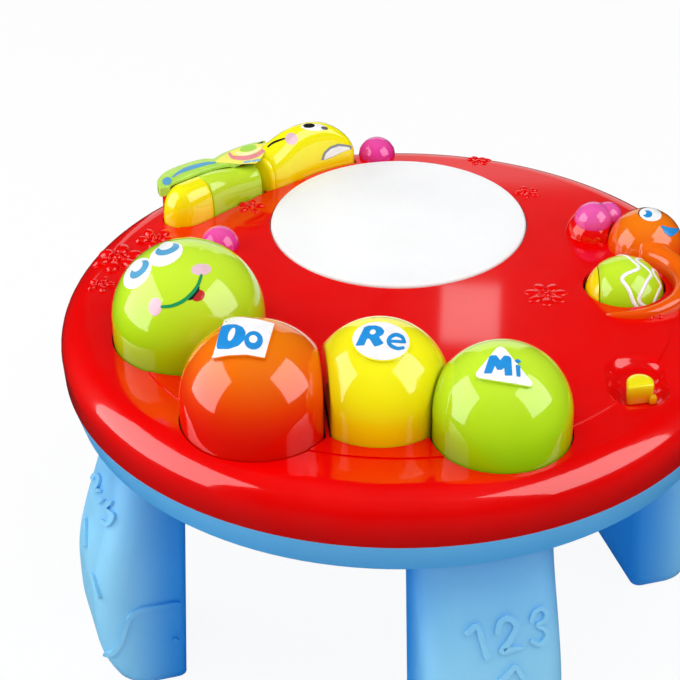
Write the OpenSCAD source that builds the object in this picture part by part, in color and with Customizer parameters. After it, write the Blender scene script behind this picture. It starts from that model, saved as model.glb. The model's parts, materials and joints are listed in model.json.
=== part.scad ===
// Toddler's musical activity table: two-shell top on four plug-in legs, with press keys,
// a light-up drum pad, a roller and a slide switch. The origin is on the floor under the
// centre of the table top, +Z is up and the keyboard side faces -Y. Sizes in millimetres.

/* [Table] */
// Widest diameter of the round table top
table_d = 300; // [294:1:320]
// Height of the seam between the red and the blue shell above the floor
seam_h = 143; // [120:1:180]
// Smallest angle that every curve is divided into
curve_steps = 72; // [48:12:96]

/* [Top shell] */
// Height of the play surface above the seam
deck_h = 23.6; // [22:0.2:26]
// Radius of the full-round rim
rim_r = 12.6; // [11.5:0.1:13.5]
// Step from the rim up to the play surface
deck_step = 0.6; // [0.3:0.1:1]
// How far the play surface's edge lies inside the table's edge
deck_inset = 29; // [26:1:32]
// Wall of both shells
wall = 2.6; // [2:0.1:3]
// How far each shell's edge at the seam lies inside the widest line
seam_inset = 0.7; // [0.3:0.1:1.2]
// Radius of the screw bosses
boss_r = 4; // [3.5:0.1:4.5]
// How far the screw bosses lie inside the table's edge
boss_inset = 12; // [11:0.5:14]

/* [Base shell] */
// Depth of the base shell below the seam
base_depth = 14.7; // [13:0.1:17]
// How far the base shell draws in towards its lower edge
base_draft = 4.1; // [2:0.1:6]
// Height of the tongue that locates the top shell
tongue_h = 4; // [3:0.5:5]
// Thickness of that tongue
tongue_t = 1.8; // [1.4:0.1:2.2]

/* [Legs] */
// Direction of the front leg, turned from the front towards the right
leg_turn = 17.4; // [10:0.1:25]
// How far a leg's inner face lies inside the table's edge, at its top
leg_in_top_inset = 45; // [42:0.5:48]
// How far a leg's inner face lies inside the table's edge, at the floor
leg_in_foot_inset = 39.5; // [37:0.5:44]
// How far a leg's outer face lies inside the table's edge, at its top
leg_out_top_inset = 19.2; // [17:0.2:22]
// How far a leg's outer face lies inside the table's edge, at its widest
leg_belly_inset = 0.7; // [0.4:0.1:4]
// How far a leg's outer face lies inside the table's edge, at the floor
leg_foot_inset = 9.3; // [7:0.2:14]
// Width of a leg
leg_w = 61; // [56:0.5:64]
// Wall of a hollow leg
leg_wall = 3; // [2.4:0.1:4]
// Rounding of a leg's outer corners
leg_corner = 15; // [10:0.5:18]
// Length of the plug on a leg's top
plug_l = 44; // [38:1:46]
// Width of that plug
plug_w = 18; // [14:1:20]
// Height of that plug
plug_h = 5; // [4:0.1:5.2]

/* [Keys] */
// How far a key goes down
key_travel = 3; // [2:0.5:3.5]
// Height of a key's straight wall above the play surface
key_wall_h = 9.6; // [6:0.2:12]
// Wall of a key
key_t = 2.2; // [1.8:0.1:2.6]
// Clearance round a key in the top shell
key_gap = 0.5; // [0.4:0.1:0.8]
// Width of the retaining flange round a key
flange_w = 2; // [1.4:0.1:2.2]
// Thickness of that flange
flange_t = 1.8; // [1.4:0.1:2.2]
// Radius of a key's guide pin
pin_r = 3; // [2.5:0.1:3.4]
// Clearance of a guide pin in its hole
pin_gap = 0.3; // [0.2:0.05:0.5]
// Radius of the worm's head on a 300 mm table
head_size = 33.2; // [30:0.2:34]
// Radius of the first key on a 300 mm table
do_size = 32; // [29:0.2:32.4]
// Radius of the second key on a 300 mm table
re_size = 29.2; // [28:0.2:30]
// Radius of the third key on a 300 mm table
mi_size = 29; // [28:0.2:30]
// Width of the raised label pad on a key
label_w = 22; // [18:0.5:24]
// Length of the square label pad on the first key
label_l = 25; // [18:0.5:26]
// Height of a label pad above its key
label_h = 1.2; // [0.6:0.1:1.6]
// Mean radius of a key's coil spring
coil_r = 5; // [4.6:0.1:5.6]
// Radius of the spring wire
wire_r = 0.5; // [0.4:0.05:0.6]

/* [Drum] */
// Radius of the drum pad on a 300 mm table
drum_size = 60; // [56:0.5:62]
// Distance of the drum's centre behind the table's centre on a 300 mm table
drum_back = 69.6; // [68:0.1:70.5]
// How far the drum pad stands above the play surface
drum_rise = 1.2; // [0.6:0.1:2]
// How far the drum pad goes down
drum_travel = 2; // [1:0.5:2.5]
// Distance of the drum's three springs from its centre on a 300 mm table
drum_spring_size = 44; // [38:1:48]

/* [Butterfly] */
// Height of the butterfly's head
bfly_head_h = 23.4; // [18:0.2:26]
// Height of the butterfly's tail
bfly_tail_h = 17; // [14:0.2:19]
// Half of the butterfly body's width at the tail on a 300 mm table
tail_size = 10.5; // [9:0.1:11.5]
// Half of the butterfly body's width at the neck on a 300 mm table
neck_size = 8; // [6.5:0.1:9]
// Length of the body from the tail's middle to the neck on a 300 mm table
body_size = 42; // [38:0.5:44]
// Height of the raised red pad under the wing
wing_pad_h = 14.8; // [13:0.2:17]
// Thickness of the wing plate
wing_t = 2.2; // [1.6:0.1:3]
// How far the wing's outer edge lies inside the table's edge
wing_inset = 11; // [10:0.5:14]

/* [Snail] */
// Largest radius of the roller on a 300 mm table
roller_size = 18; // [16:0.1:18.4]
// Length of the roller on a 300 mm table
roller_width = 36; // [33:0.5:37]
// Depth of the roller's axle below the play surface
roller_drop = 4.8; // [4:0.1:6]
// Length of the roller's end cap
roller_cap_l = 6; // [4:0.5:8]
// Radius of the steel axle
axle_r = 1.5; // [1.2:0.1:2]
// Radius of the snail's head on a 300 mm table
snail_head_size = 17.3; // [15:0.1:17.5]

/* [Slide switch] */
// Half of the width of the oval dish
dish_r = 14; // [13:0.5:15]
// Depth of that dish
dish_depth = 4; // [3:0.5:5]
// Width of the switch knob
knob_w = 11.4; // [10:0.2:13]
// Height of the switch knob above the dish
knob_h = 9.2; // [7:0.2:11]
// Travel of the switch knob
knob_travel = 14; // [8:1:16]

/* [Feelers] */
// Radius of the worm's feeler balls on a 300 mm table
worm_ball_size = 8.9; // [7:0.1:9.5]
// Radius of the butterfly's feeler ball on a 300 mm table
bfly_ball_size = 9; // [7:0.1:9.2]
// Radius of the snail's near feeler ball
snail_ball_r = 8.3; // [7:0.1:9]
// Radius of the snail's far feeler ball
snail_far_ball_r = 6.4; // [6:0.1:6.6]

/* [Sound unit] */
// Radius of the loudspeaker
speaker_r = 20; // [18:0.5:22]
// Radius of an AA cell
cell_r = 7.15; // [7:0.05:7.25]
// Length of an AA cell
cell_l = 50; // [49:0.5:50.5]
// Number of cells
cells = 3; // [2:1:3]
// Thickness of the circuit boards
board_t = 1.6; // [1:0.1:2]

/* [Hidden] */

$fn = curve_steps;
eps = 0.01;
fit = 0.3;             // seat clearance between mouldings
table_r = table_d / 2;
spread = table_d / 300;                  // figures and their places grow with the table
deck_r = table_r - deck_inset;
boss_reach = table_r - boss_inset;
head_r = head_size * spread;
do_r = do_size * spread;
re_r = re_size * spread;
mi_r = mi_size * spread;
seam_r = table_r - seam_inset;
base_foot_r = seam_r - base_draft;
deck_z = seam_h + deck_h;
rim_top = deck_h - deck_step;
under_z = seam_h + rim_top - wall;       // underside of the play surface
rim_c = table_r - rim_r;                 // radius of the rim's centre circle
floor_z = seam_h - base_depth;           // lower face of the base shell
floor_in = floor_z + wall;               // inner face of its floor
frame_t = 2;
frame_z = seam_h + 3;                    // lower face of the key carriers
frame_top = frame_z + frame_t;
post_r = 3.5;
post_screw_r = 1.25;
spring_top = seam_h + 13.6;              // where a spring meets its key
flange_top = under_z - fit;
skirt_low = flange_top - flange_t;
flange_reach = rim_c + 1;                // the shell's inside curves down beyond this
pin_low = frame_z - 2;
dome_z = deck_z + key_wall_h;            // where a key's straight wall turns into its dome
pad_h = 1.4;
pad_r = 4;
press_gap = 1;                           // left under a key that is pressed down
board_z = pin_low - key_travel - press_gap - pad_h - board_t;

// Worm: centre of each piece
head_c = spread * [-90.4, -28.8];
do_c = spread * [-57.3, -91.6];
re_c = spread * [-7.3, -84.8];
mi_c = spread * [41.9, -101.5];
worm_c = [head_c, do_c, re_c, mi_c];
do_gap = 2.6;          // gap over the strip of play surface between the first two keys
re_gap = 0.8;          // gap between the second and the third key
strip_w = 1.6;

drum_r = drum_size * spread;
drum_y = drum_back * spread;
drum_spring_reach = drum_spring_size * spread;
drum_c = [0, drum_y];
drum_hole_r = drum_r + key_gap;

// Butterfly: the body's line starts at the tail's middle
bfly_tail_w = tail_size * spread;
bfly_neck_w = neck_size * spread;
bfly_body_l = body_size * spread;
tail_c = spread * [-101.5, 75.5];
body_turn = 42.4;
body_dir = [cos(body_turn), sin(body_turn)];
body_out = [-sin(body_turn), cos(body_turn)];
tail_seam = bfly_body_l * 0.25;
neck_h = 13.2;
body_flat = 2.5;        // how much narrower the body is on its wing side
head_near = drum_r + 4.6;               // the head follows the drum's edge at this radius
head_far = table_r - 9;
head_from = 154;                        // directions from the drum's centre
head_to = 109;
wing_z = deck_z + wing_pad_h;
wing_reach = table_r - wing_inset;

roller_r = roller_size * spread;
roller_l = roller_width * spread;
snail_head_r = snail_head_size * spread;
roller_c = spread * [101.3, 12];
roller_z = min(deck_z - roller_drop, under_z - axle_r - 0.2);
snail_head_c = spread * [114, 48.5];
knob_c = spread * [100.5, -72.5];
dish_c = knob_c + [0, 7.5];
dish_half = 7;          // half of the straight part of the oval dish
dish_z = deck_z - dish_depth;

worm_ball_r = worm_ball_size * spread;
bfly_ball_r = bfly_ball_size * spread;
worm_balls = spread * [[-82.6, 48], [-95.6, 37]];
bfly_ball_c = spread * [-10.7, 139.5];
snail_balls = spread * [[90.7, 62], [97.8, 65.8]];
snail_ball_z = deck_z + 6;

boss_turns = [-44, 46, 150, 243];
key_posts = spread * [[-105, -72], [-36, -58], [24, -60], [78, -90], [-50, -18]];
drum_posts = spread * [[68, 69.6], [-58.5, 34], [24.5, 4]];
bfly_posts = spread * [[-113, 54], [-78, 66], [4, 136.5]];
snail_posts = [roller_c + [0, 22], roller_c - [0, 22]];

well_c = [0, -28];
well_l = cell_l + 9;
well_w = 2 * cell_r * cells + 2 * (cells - 1) * 0.4 + 1.2;
well_z = floor_z + 2.6 + 2 * cell_r + 0.6;
door_t = 2.2;
door_gap = 0.3;
speaker_c = spread * [58, 12];
speaker_h = 9;

// ---- helpers -------------------------------------------------------------

function polar(r, a) = [r * sin(a), -r * cos(a)];
function along(p, d, s, n, k) = [p[0] + d[0] * s + n[0] * k, p[1] + d[1] * s + n[1] * k];
function smooth(x) = let (c = min(max(x, 0), 1)) c * c * (3 - 2 * c);
function spow(x, p) = sign(x) * pow(abs(x), p);

// Closed mesh through equal rings of points, with flat ends
module loft(rings) {
    n = len(rings[0]);
    m = len(rings);
    points = [for (r = rings) for (p = r) p];
    sides = [for (i = [0:m - 2]) for (j = [0:n - 1]) let (k = (j + 1) % n)
             [i * n + j, i * n + k, (i + 1) * n + k, (i + 1) * n + j]];
    ends = [[for (j = [n - 1:-1:0]) j], [for (j = [0:n - 1]) (m - 1) * n + j]];
    polyhedron(points, concat(sides, ends), convexity = 6);
}

// Flat bar between two points, with a round eye at each end
module bar(p, q, w) {
    d = q - p;
    translate(p) rotate(atan2(d[1], d[0])) translate([0, -w / 2]) square([norm(d), w]);
    translate(p) circle(d = w + 1);
    translate(q) circle(d = w + 1);
}

module slab(z0, z1) {
    translate([0, 0, z0]) linear_extrude(z1 - z0) children();
}

module rod(c, r, z0, z1) {
    translate([c[0], c[1], z0]) cylinder(r = r, h = z1 - z0);
}

// Compression spring standing on a carrier round a guide pin
module coil(c) {
    turns = 4;
    sides = 5;
    steps = 13;
    z0 = frame_top + wire_r + 0.05;
    z1 = spring_top - wire_r - 0.05;
    n = turns * steps;
    rings = [for (i = [0:n]) let (a = 360 * i / steps, z = z0 + (z1 - z0) * i / n)
             [for (j = [0:sides - 1]) let (b = 360 * j / sides)
              [c[0] + (coil_r + wire_r * cos(b)) * cos(a),
               c[1] + (coil_r + wire_r * cos(b)) * sin(a), z + wire_r * sin(b)]]];
    color("silver") loft(rings);
}

// Post under the play surface that a carrier is screwed to
module carrier_posts(list, z) {
    for (p = list) difference() {
        rod(p, post_r, z, under_z + eps);
        rod(p, post_screw_r, z - 1, z + 8);
    }
}

module carrier_screws(list, z) {
    for (p = list) {
        rod(p, post_screw_r - 0.05, z - frame_t, z + 7);
        rod(p, 2.5, z - frame_t - 1.6, z - frame_t);
    }
}

module carrier_holes(list) {
    for (p = list) rod(p, post_screw_r + 0.15, frame_z - 1, frame_top + 1);
}

// Guide pin in the middle of a key, with the shoulder that a spring presses on
module guide(c, top) {
    rod(c, coil_r + 1.2, spring_top, spring_top + 2);
    rod(c, pin_r, pin_low, top);
}

// ---- top shell -----------------------------------------------------------

// Section of the top shell's outside, or of its hollow when given a wall
module shell_section(t, low) {
    intersection() {
        union() {
            translate([0, low]) square([rim_c, rim_top - t - low]);
            translate([rim_c, rim_top - rim_r]) circle(rim_r - t);
            polygon([[0, low], [seam_r - t, low], [table_r - t, rim_top - rim_r],
                     [0, rim_top - rim_r]]);
        }
        translate([0, low]) square([table_r + 5, deck_h + 10]);
    }
}

// Outline of the worm's openings, grown by a clearance
module worm_opening(g) {
    translate(head_c) circle(head_r + g);
    difference() {
        union() {
            translate(do_c) circle(do_r + g);
            translate(re_c) circle(re_r + g);
        }
        seam_frame(do_c, do_r, re_c, re_r) translate([-strip_w / 2, -60]) square([strip_w, 120]);
    }
    translate(mi_c) circle(mi_r + g);
}

function far_reach(a, r) = -drum_y * sin(a) + sqrt(r * r - pow(drum_y * cos(a), 2));

// Footprint of the butterfly's three keys
function head_mid(u) = let (a = head_from + (head_to - head_from) * u)
    [a, neck_near(u), far_reach(a, head_far) - 10 * pow(1 - min(u / 0.7, 1), 1.5)];
function neck_near(u) = head_near + 5.4 * pow(1 - min(u / 0.3, 1), 2);

module head_outline(g) {
    steps = 16;
    near = [for (i = [0:steps]) let (m = head_mid(i / steps))
            drum_c + (m[1] - g) * [cos(m[0]), sin(m[0])]];
    far = [for (i = [steps:-1:0]) let (m = head_mid(i / steps))
           drum_c + (m[2] + g) * [cos(m[0]), sin(m[0])]];
    side = g * 57.3 / 75;
    polygon(concat(near, far));
    polygon([drum_c + (head_mid(0)[1] - g) * [cos(head_from + side), sin(head_from + side)],
             near[0], far[steps],
             drum_c + (head_mid(0)[2] + g) * [cos(head_from + side), sin(head_from + side)]]);
    polygon([near[steps], far[0],
             drum_c + (head_mid(1)[2] + g) * [cos(head_to - side), sin(head_to - side)],
             drum_c + (head_mid(1)[1] - g) * [cos(head_to - side), sin(head_to - side)]]);
}

function cap_round(s, g) = s < 0 ? sqrt(max(1 - pow(s / (bfly_tail_w + g), 2), 0)) : 1;
function body_near(s, g = 0) = cap_round(s, g)
    * (bfly_tail_w + g + (bfly_neck_w - bfly_tail_w) * smooth(s / bfly_body_l));
function body_far(s, g = 0) = body_near(s, g) - body_flat * cap_round(s, g);
function body_top(s) = s < 0
    ? bfly_tail_h * pow(max(1 - pow(-s / bfly_tail_w, 2.4), 0), 0.45)
    : bfly_tail_h + (neck_h - bfly_tail_h) * smooth((s - 16) / (bfly_body_l - 16));

module body_outline(g) {
    steps = 20;
    s0 = -bfly_tail_w - g;
    list = [for (i = [0:steps]) s0 + (bfly_body_l + 2 - s0) * (1 - cos(90 * i / steps))];
    low = [for (s = list) along(tail_c, body_dir, s, body_out, -body_near(s, g))];
    high = [for (i = [steps:-1:1]) along(tail_c, body_dir, list[i], body_out,
                                         body_far(list[i], g))];
    polygon(concat(low, high));
}

module butterfly_opening(g) {
    head_outline(g);
    body_outline(g);
}

// Point of the butterfly at a share of the way from the tail's middle to the neck
function wing_at(share, k) = along(tail_c, body_dir, share * bfly_body_l, body_out, k * spread);

// Wing plate: its near edge follows the body's crest and laps over the thin neck
module wing_outline() {
    intersection() {
        circle(wing_reach, $fn = 180);
        difference() {
            polygon([wing_at(-0.14, 8.6), wing_at(0.08, 6.2), wing_at(0.4, 5.6), wing_at(0.52, 4.8),
                     wing_at(0.62, 3.6), wing_at(0.7, 2.2), wing_at(0.76, 0), wing_at(0.84, -3.8),
                     wing_at(0.93, -4.6), wing_at(1.05, -2),
                     wing_at(1.2, 2), wing_at(1.45, 2), wing_at(1.45, 40), wing_at(0.7, 40),
                     wing_at(0.64, 13), wing_at(0.6, 40), wing_at(-0.14, 40)]);
            head_outline(key_gap + 0.7);
        }
    }
}

// Raised pad that carries the wing behind the body
module pad_outline() {
    difference() {
        intersection() {
            circle(wing_reach - 1, $fn = 180);
            polygon([wing_at(-0.1, 0), wing_at(1.05, 0), wing_at(1.3, 3), wing_at(1.3, 60),
                     wing_at(-0.1, 60)]);
        }
        head_outline(key_gap + 1.2);
        body_outline(key_gap + 0.8);
    }
}

module roller_opening(g) {
    translate(roller_c) circle(sqrt(pow(roller_r, 2) - pow(roller_drop, 2)) + g);
}

module ball_mound(c, z, r, low) {
    intersection() {
        translate([c[0], c[1], z]) sphere(r);
        rod(c, r + 1, low, z + r + 1);
    }
}

module top_shell() {
    color([0.93, 0.02, 0.03]) difference() {
        union() {
            translate([0, 0, seam_h]) difference() {
                rotate_extrude() shell_section(0, 0);
                rotate_extrude() shell_section(wall, -1);
            }
            rod([0, 0], deck_r, deck_z - deck_step - 1, deck_z);
            slab(under_z - eps, wing_z) pad_outline();
            difference() {
                ball_mound(snail_balls[0], deck_z - 2, 12.5, under_z);
                rod(snail_head_c, snail_head_r + 0.1, deck_z, deck_z + 30);
            }
            for (y = [-1, 1]) rod(dish_c + [0, y * dish_half], dish_r + 1, dish_z - wall, under_z + eps);
            slab(dish_z - wall, under_z + eps) translate(dish_c - [dish_r + 1, dish_half])
                square([2 * dish_r + 2, 2 * dish_half]);
            for (a = boss_turns) rod(polar(boss_reach, a), boss_r, seam_h, under_z);
            carrier_posts(key_posts, frame_top);
            carrier_posts(drum_posts, frame_top);
            carrier_posts(bfly_posts, frame_top);
            carrier_posts(snail_posts, cradle_z + frame_t);
        }
        slab(under_z - 6, wing_z + 5) worm_opening(key_gap);
        slab(under_z - 6, deck_z + 5) butterfly_opening(key_gap);
        rod(drum_c, drum_hole_r, under_z - 6, deck_z + 5);
        slab(under_z - 1, deck_z + 5) roller_opening(1.2);
        for (y = [-1:1]) translate([dish_c[0], dish_c[1] + y * dish_half, dish_z])
            rotate_extrude() dish_section();
        slab(dish_z, deck_z + 1) translate(dish_c - [dish_floor, dish_half])
            square([2 * dish_floor, 2 * dish_half]);
        slab(dish_z - wall - 1, dish_z + 1) knob_slot();
        for (a = boss_turns) rod(polar(boss_reach, a), 1.25, seam_h - 1, seam_h + 12);
        for (i = [0:1]) snail_ball(i, 0.05);
        translate([bfly_ball_c[0], bfly_ball_c[1], deck_z - 1]) sphere(bfly_ball_r + 0.05);
    }
}

dish_floor = 6.8;
dish_crest = dish_depth + 0.2;           // the bend's crest, just above the play surface
dish_run = (dish_r + 1.2 - dish_floor) / 2;
dish_bend = (dish_run * dish_run + dish_crest * dish_crest / 4) / dish_crest;

// Section of the dish: flat floor, hollow bend, round bend out to the play surface
module dish_section() {
    difference() {
        union() {
            square([dish_floor, dish_crest + 1]);
            intersection() {
                translate([dish_floor, dish_bend]) circle(dish_bend);
                translate([dish_floor - eps, 0]) square([dish_run + eps, dish_crest + 1]);
            }
            translate([dish_floor + dish_run - eps, dish_crest / 2])
                square([dish_run, dish_crest / 2 + 1]);
        }
        translate([dish_floor + 2 * dish_run, dish_crest - dish_bend]) circle(dish_bend);
    }
}

module knob_slot() {
    translate([knob_c[0] - 2.5, knob_c[1] - 2.5]) square([5, knob_travel + 5]);
}

// ---- base shell ----------------------------------------------------------

module leg_frame(i) {
    rotate(leg_turn + 90 * i) children();
}

module plug_outline(g) {
    reach = (leg_in_top + leg_out_top) / 2;
    translate([-plug_l / 2 - g, -reach - plug_w / 2 - g]) square([plug_l + 2 * g, plug_w + 2 * g]);
}

module well_outline(g) {
    translate([well_c[0] - well_l / 2 - g, well_c[1] - well_w / 2 - g])
        square([well_l + 2 * g, well_w + 2 * g]);
}

module base_shell() {
    color([0.39, 0.71, 0.91]) difference() {
        union() {
            translate([0, 0, seam_h]) rotate_extrude() difference() {
                polygon([[0, -base_depth], [base_foot_r - 1.2, -base_depth],
                         [base_foot_r, -base_depth + 1.2], [seam_r, 0], [0, 0]]);
                polygon([[0, -base_depth + wall], [base_foot_r - wall - 1, -base_depth + wall],
                         [seam_r - wall - 0.6, 1], [0, 1]]);
            }
            translate([0, 0, seam_h - 6]) difference() {
                rod([0, 0], seam_r - wall - fit, 0, 6 + tongue_h);
                rod([0, 0], seam_r - wall - fit - tongue_t, -1, 7 + tongue_h);
            }
            for (i = [0:3]) leg_frame(i) slab(floor_z, floor_z + plug_h + 3) plug_outline(wall);
            for (a = boss_turns) rod(polar(boss_reach, a), boss_r, floor_z, seam_h);
            slab(floor_z, well_z + 2) well_outline(2);
            difference() {
                rod(speaker_c, speaker_r + 2, floor_z, floor_in + 5);
                rod(speaker_c, speaker_r + 0.2, floor_in, floor_in + 6);
            }
        }
        for (i = [0:3]) leg_frame(i) slab(floor_z - 1, floor_z + plug_h + 0.6) plug_outline(fit);
        for (a = boss_turns) {
            rod(polar(boss_reach, a), 1.6, floor_z - 1, seam_h + 1);
            rod(polar(boss_reach, a), 2.9, floor_z - 1, seam_h - 4);
        }
        slab(floor_z - 1, well_z) well_outline(0);
        slab(floor_z - 1, floor_z + door_t + 0.2) well_outline(3);
        for (x = [-3:3]) speaker_slot(x * 5);
    }
}

module speaker_slot(x) {
    l = sqrt(pow(speaker_r - 2, 2) - x * x);
    translate([speaker_c[0] + x - 1.1, speaker_c[1] - l, floor_z - 1]) cube([2.2, 2 * l, wall + 2]);
}

// ---- legs ----------------------------------------------------------------

leg_len = floor_z;
leg_in_top = table_r - leg_in_top_inset;
leg_in_foot = table_r - leg_in_foot_inset;
leg_out_top = table_r - leg_out_top_inset;
leg_out_belly = table_r - leg_belly_inset;
leg_out_foot = table_r - leg_foot_inset;
function leg_out(s) = leg_out_top + (leg_out_belly - leg_out_top) * smooth(s / 0.65)
    - (leg_out_belly - leg_out_foot) * pow(max(s - 0.7, 0) / 0.3, 3);
function leg_in(s) = leg_in_top + (leg_in_foot - leg_in_top) * s;

function corner(x, y, r, a0, n) = [for (i = [0:n]) let (a = a0 - 90 * i / n)
                                   [x + r * cos(a), y + r * sin(a)]];

// Section of a leg at a share of its length: flat inside, large outer corners
function leg_ring(s, inset) =
    let (out = leg_out(s) - inset, in = leg_in(s) + inset, h = leg_w / 2 - inset,
         c = min(leg_corner - inset / 2, (out - in) * 0.75), k = 4 - inset / 2)
    [for (p = concat(corner(k - h, -in - k, k, 180, 2), corner(h - k, -in - k, k, 90, 2),
                     corner(h - c, c - out, c, 0, 7), corner(c - h, c - out, c, -90, 7)))
     [p[0], p[1], leg_len * (1 - s)]];

module leg(i) {
    rows = 14;
    hollow_rows = 7;
    hollow_low = 1 - 2 * leg_wall / leg_len;
    hollow_high = leg_wall / leg_len;
    color([0.42, 0.74, 0.93]) leg_frame(i) difference() {
        union() {
            loft([for (j = [0:rows]) leg_ring(1 - j / rows, 0)]);
            slab(floor_z - 1, floor_z + plug_h) plug_outline(0);
        }
        loft([for (j = [0:hollow_rows]) leg_ring(hollow_low + (hollow_high - hollow_low) * j / hollow_rows,
                                                 leg_wall)]);
        slab(floor_z - leg_wall - 2, floor_z + plug_h + 1) plug_outline(-leg_wall);
    }
}

// ---- keys ----------------------------------------------------------------

module dome_outline(r) {
    intersection() {
        translate([0, dome_z]) circle(r);
        translate([0, dome_z]) square([r, r]);
    }
    translate([0, skirt_low]) square([r, dome_z - skirt_low]);
}

module dome_section(r) {
    difference() {
        dome_outline(r);
        intersection() {
            translate([0, dome_z]) circle(r - key_t);
            translate([0, dome_z]) square([r, r]);
        }
        translate([0, skirt_low - 1]) square([r - key_t, dome_z - skirt_low + 1]);
    }
}

// Frame at the seam that two neighbouring keys share: +X points at the other key
module seam_frame(c, r, other_c, other_r) {
    d = other_c - c;
    l = norm(d);
    cut = (l * l + r * r - other_r * other_r) / (2 * l);
    translate([c[0], c[1], 0]) rotate(atan2(d[1], d[0])) translate([cut, 0, 0]) children();
}

module beyond_seam(c, r, other_c, other_r, gap) {
    seam_frame(c, r, other_c, other_r) translate([-gap / 2, -60, seam_h]) cube([60, 120, 90]);
}

// Wall that closes a key on the side of its neighbour
module seam_wall(c, r, other_c, other_r, gap) {
    intersection() {
        translate([c[0], c[1], 0]) rotate_extrude() dome_outline(r);
        seam_frame(c, r, other_c, other_r) translate([-gap / 2 - key_t, -60, seam_h])
            cube([key_t, 120, 90]);
    }
}

module dome_key(c, r) {
    translate([c[0], c[1], 0]) rotate_extrude() dome_section(r);
    slab(skirt_low, flange_top) difference() {
        intersection() {
            translate(c) circle(r + flange_w);
            circle(flange_reach);
        }
        translate(c) circle(r - 1);
    }
    guide(c, dome_z + r - key_t + 0.6);
}

// Raised pad that carries a key's label: turned to face outwards at a tilt from upright
module label_pad(c, r, turn, tilt, spin) {
    translate([c[0], c[1], dome_z]) difference() {
        intersection() {
            rotate([90, 0, 0]) sphere(r + label_h);
            rotate([0, tilt, turn]) rotate(spin - turn) translate([0, 0, r * 0.7])
                linear_extrude(r) children();
        }
        rotate([90, 0, 0]) sphere(r - 1);
    }
}

module key_do() {
    color([0.96, 0.36, 0.02]) {
        difference() {
            dome_key(do_c, do_r);
            beyond_seam(do_c, do_r, re_c, re_r, do_gap);
        }
        seam_wall(do_c, do_r, re_c, re_r, do_gap);
        label_pad(do_c, do_r, -131.9, 12.8, -17.2) translate([-label_w / 2, -label_l / 2])
            square([label_w, label_l]);
    }
}

module key_re() {
    color([1, 0.92, 0]) {
        difference() {
            dome_key(re_c, re_r);
            beyond_seam(re_c, re_r, do_c, do_r, do_gap);
            beyond_seam(re_c, re_r, mi_c, mi_r, re_gap);
        }
        difference() {
            seam_wall(re_c, re_r, do_c, do_r, do_gap);
            beyond_seam(re_c, re_r, mi_c, mi_r, re_gap);
        }
        difference() {
            seam_wall(re_c, re_r, mi_c, mi_r, re_gap);
            beyond_seam(re_c, re_r, do_c, do_r, do_gap);
        }
        label_pad(re_c, re_r, -86.2, 17.4, 0) circle(label_w / 2);
    }
}

module key_mi() {
    color([0.7, 0.88, 0.1]) {
        difference() {
            dome_key(mi_c, mi_r);
            beyond_seam(mi_c, mi_r, re_c, re_r, re_gap);
        }
        seam_wall(mi_c, mi_r, re_c, re_r, re_gap);
        label_pad(mi_c, mi_r, -91.3, 20.7, 0)
            polygon([for (a = [90, 210, 330]) label_w * 0.56 * [cos(a), sin(a)]]);
    }
}

module worm_head() {
    color([0.7, 0.88, 0.1]) dome_key(head_c, head_r);
}

module key_frame() {
    color([0.2, 0.2, 0.22]) difference() {
        slab(frame_z, frame_top) {
            for (i = [0:2]) bar(worm_c[i], worm_c[i + 1], 14);
            for (c = worm_c) translate(c) circle(10);
            bar(do_c, key_posts[0], 8);
            bar(do_c, key_posts[1], 8);
            bar(re_c, key_posts[2], 8);
            bar(mi_c, key_posts[3], 8);
            bar(head_c, key_posts[4], 8);
        }
        for (c = worm_c) rod(c, pin_r + pin_gap, frame_z - 1, frame_top + 1);
        carrier_holes(key_posts);
    }
    color([0.2, 0.2, 0.22]) for (i = [0:2]) let (m = (worm_c[i] + worm_c[i + 1]) / 2)
        rod(m, 3, board_z + board_t, frame_z + eps);
}

module key_board() {
    color([0.1, 0.42, 0.2]) slab(board_z, board_z + board_t) {
        for (i = [0:2]) bar(worm_c[i], worm_c[i + 1], 16);
    }
}

module contact_pads() {
    color([0.25, 0.25, 0.27]) for (c = concat(worm_c, bfly_pins, [drum_c]))
        rod(c, pad_r, board_z + board_t, board_z + board_t + pad_h);
}

module worm_feelers() {
    color([0.93, 0.2, 0.6]) for (c = worm_balls) ball_mound(c, deck_z, worm_ball_r, deck_z);
}

// ---- drum ----------------------------------------------------------------

function drum_spring_c(i) = drum_c + drum_spring_reach * [cos(90 + 120 * i), sin(90 + 120 * i)];

module drum_pad() {
    top = deck_z + drum_rise;
    low = flange_top - flange_t;
    color([0.97, 0.97, 0.98]) {
        translate([drum_c[0], drum_c[1], 0]) rotate_extrude() difference() {
            union() {
                translate([0, low]) square([drum_r, top - low - 1]);
                translate([0, low]) square([drum_r - 1, top - low]);
                translate([drum_r - 1, top - 1]) circle(1);
                translate([0, low]) square([drum_r + flange_w, flange_t]);
            }
            translate([-1, low - 1]) square([drum_r - key_t + 1, top - low - key_t + 1]);
        }
        for (i = [0:2]) guide(drum_spring_c(i), top - key_t + 0.5);
        rod(drum_c, pin_r, pin_low, top - key_t + 0.5);
    }
}

module drum_frame() {
    color([0.2, 0.2, 0.22]) difference() {
        slab(frame_z, frame_top) {
            difference() {
                translate(drum_c) circle(drum_spring_reach + 6);
                translate(drum_c) circle(drum_spring_reach - 7);
            }
            for (p = drum_posts) bar(drum_c + (p - drum_c) * 0.68, p, 9);
        }
        for (i = [0:2]) rod(drum_spring_c(i), pin_r + pin_gap, frame_z - 1, frame_top + 1);
        carrier_holes(drum_posts);
    }
}

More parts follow.
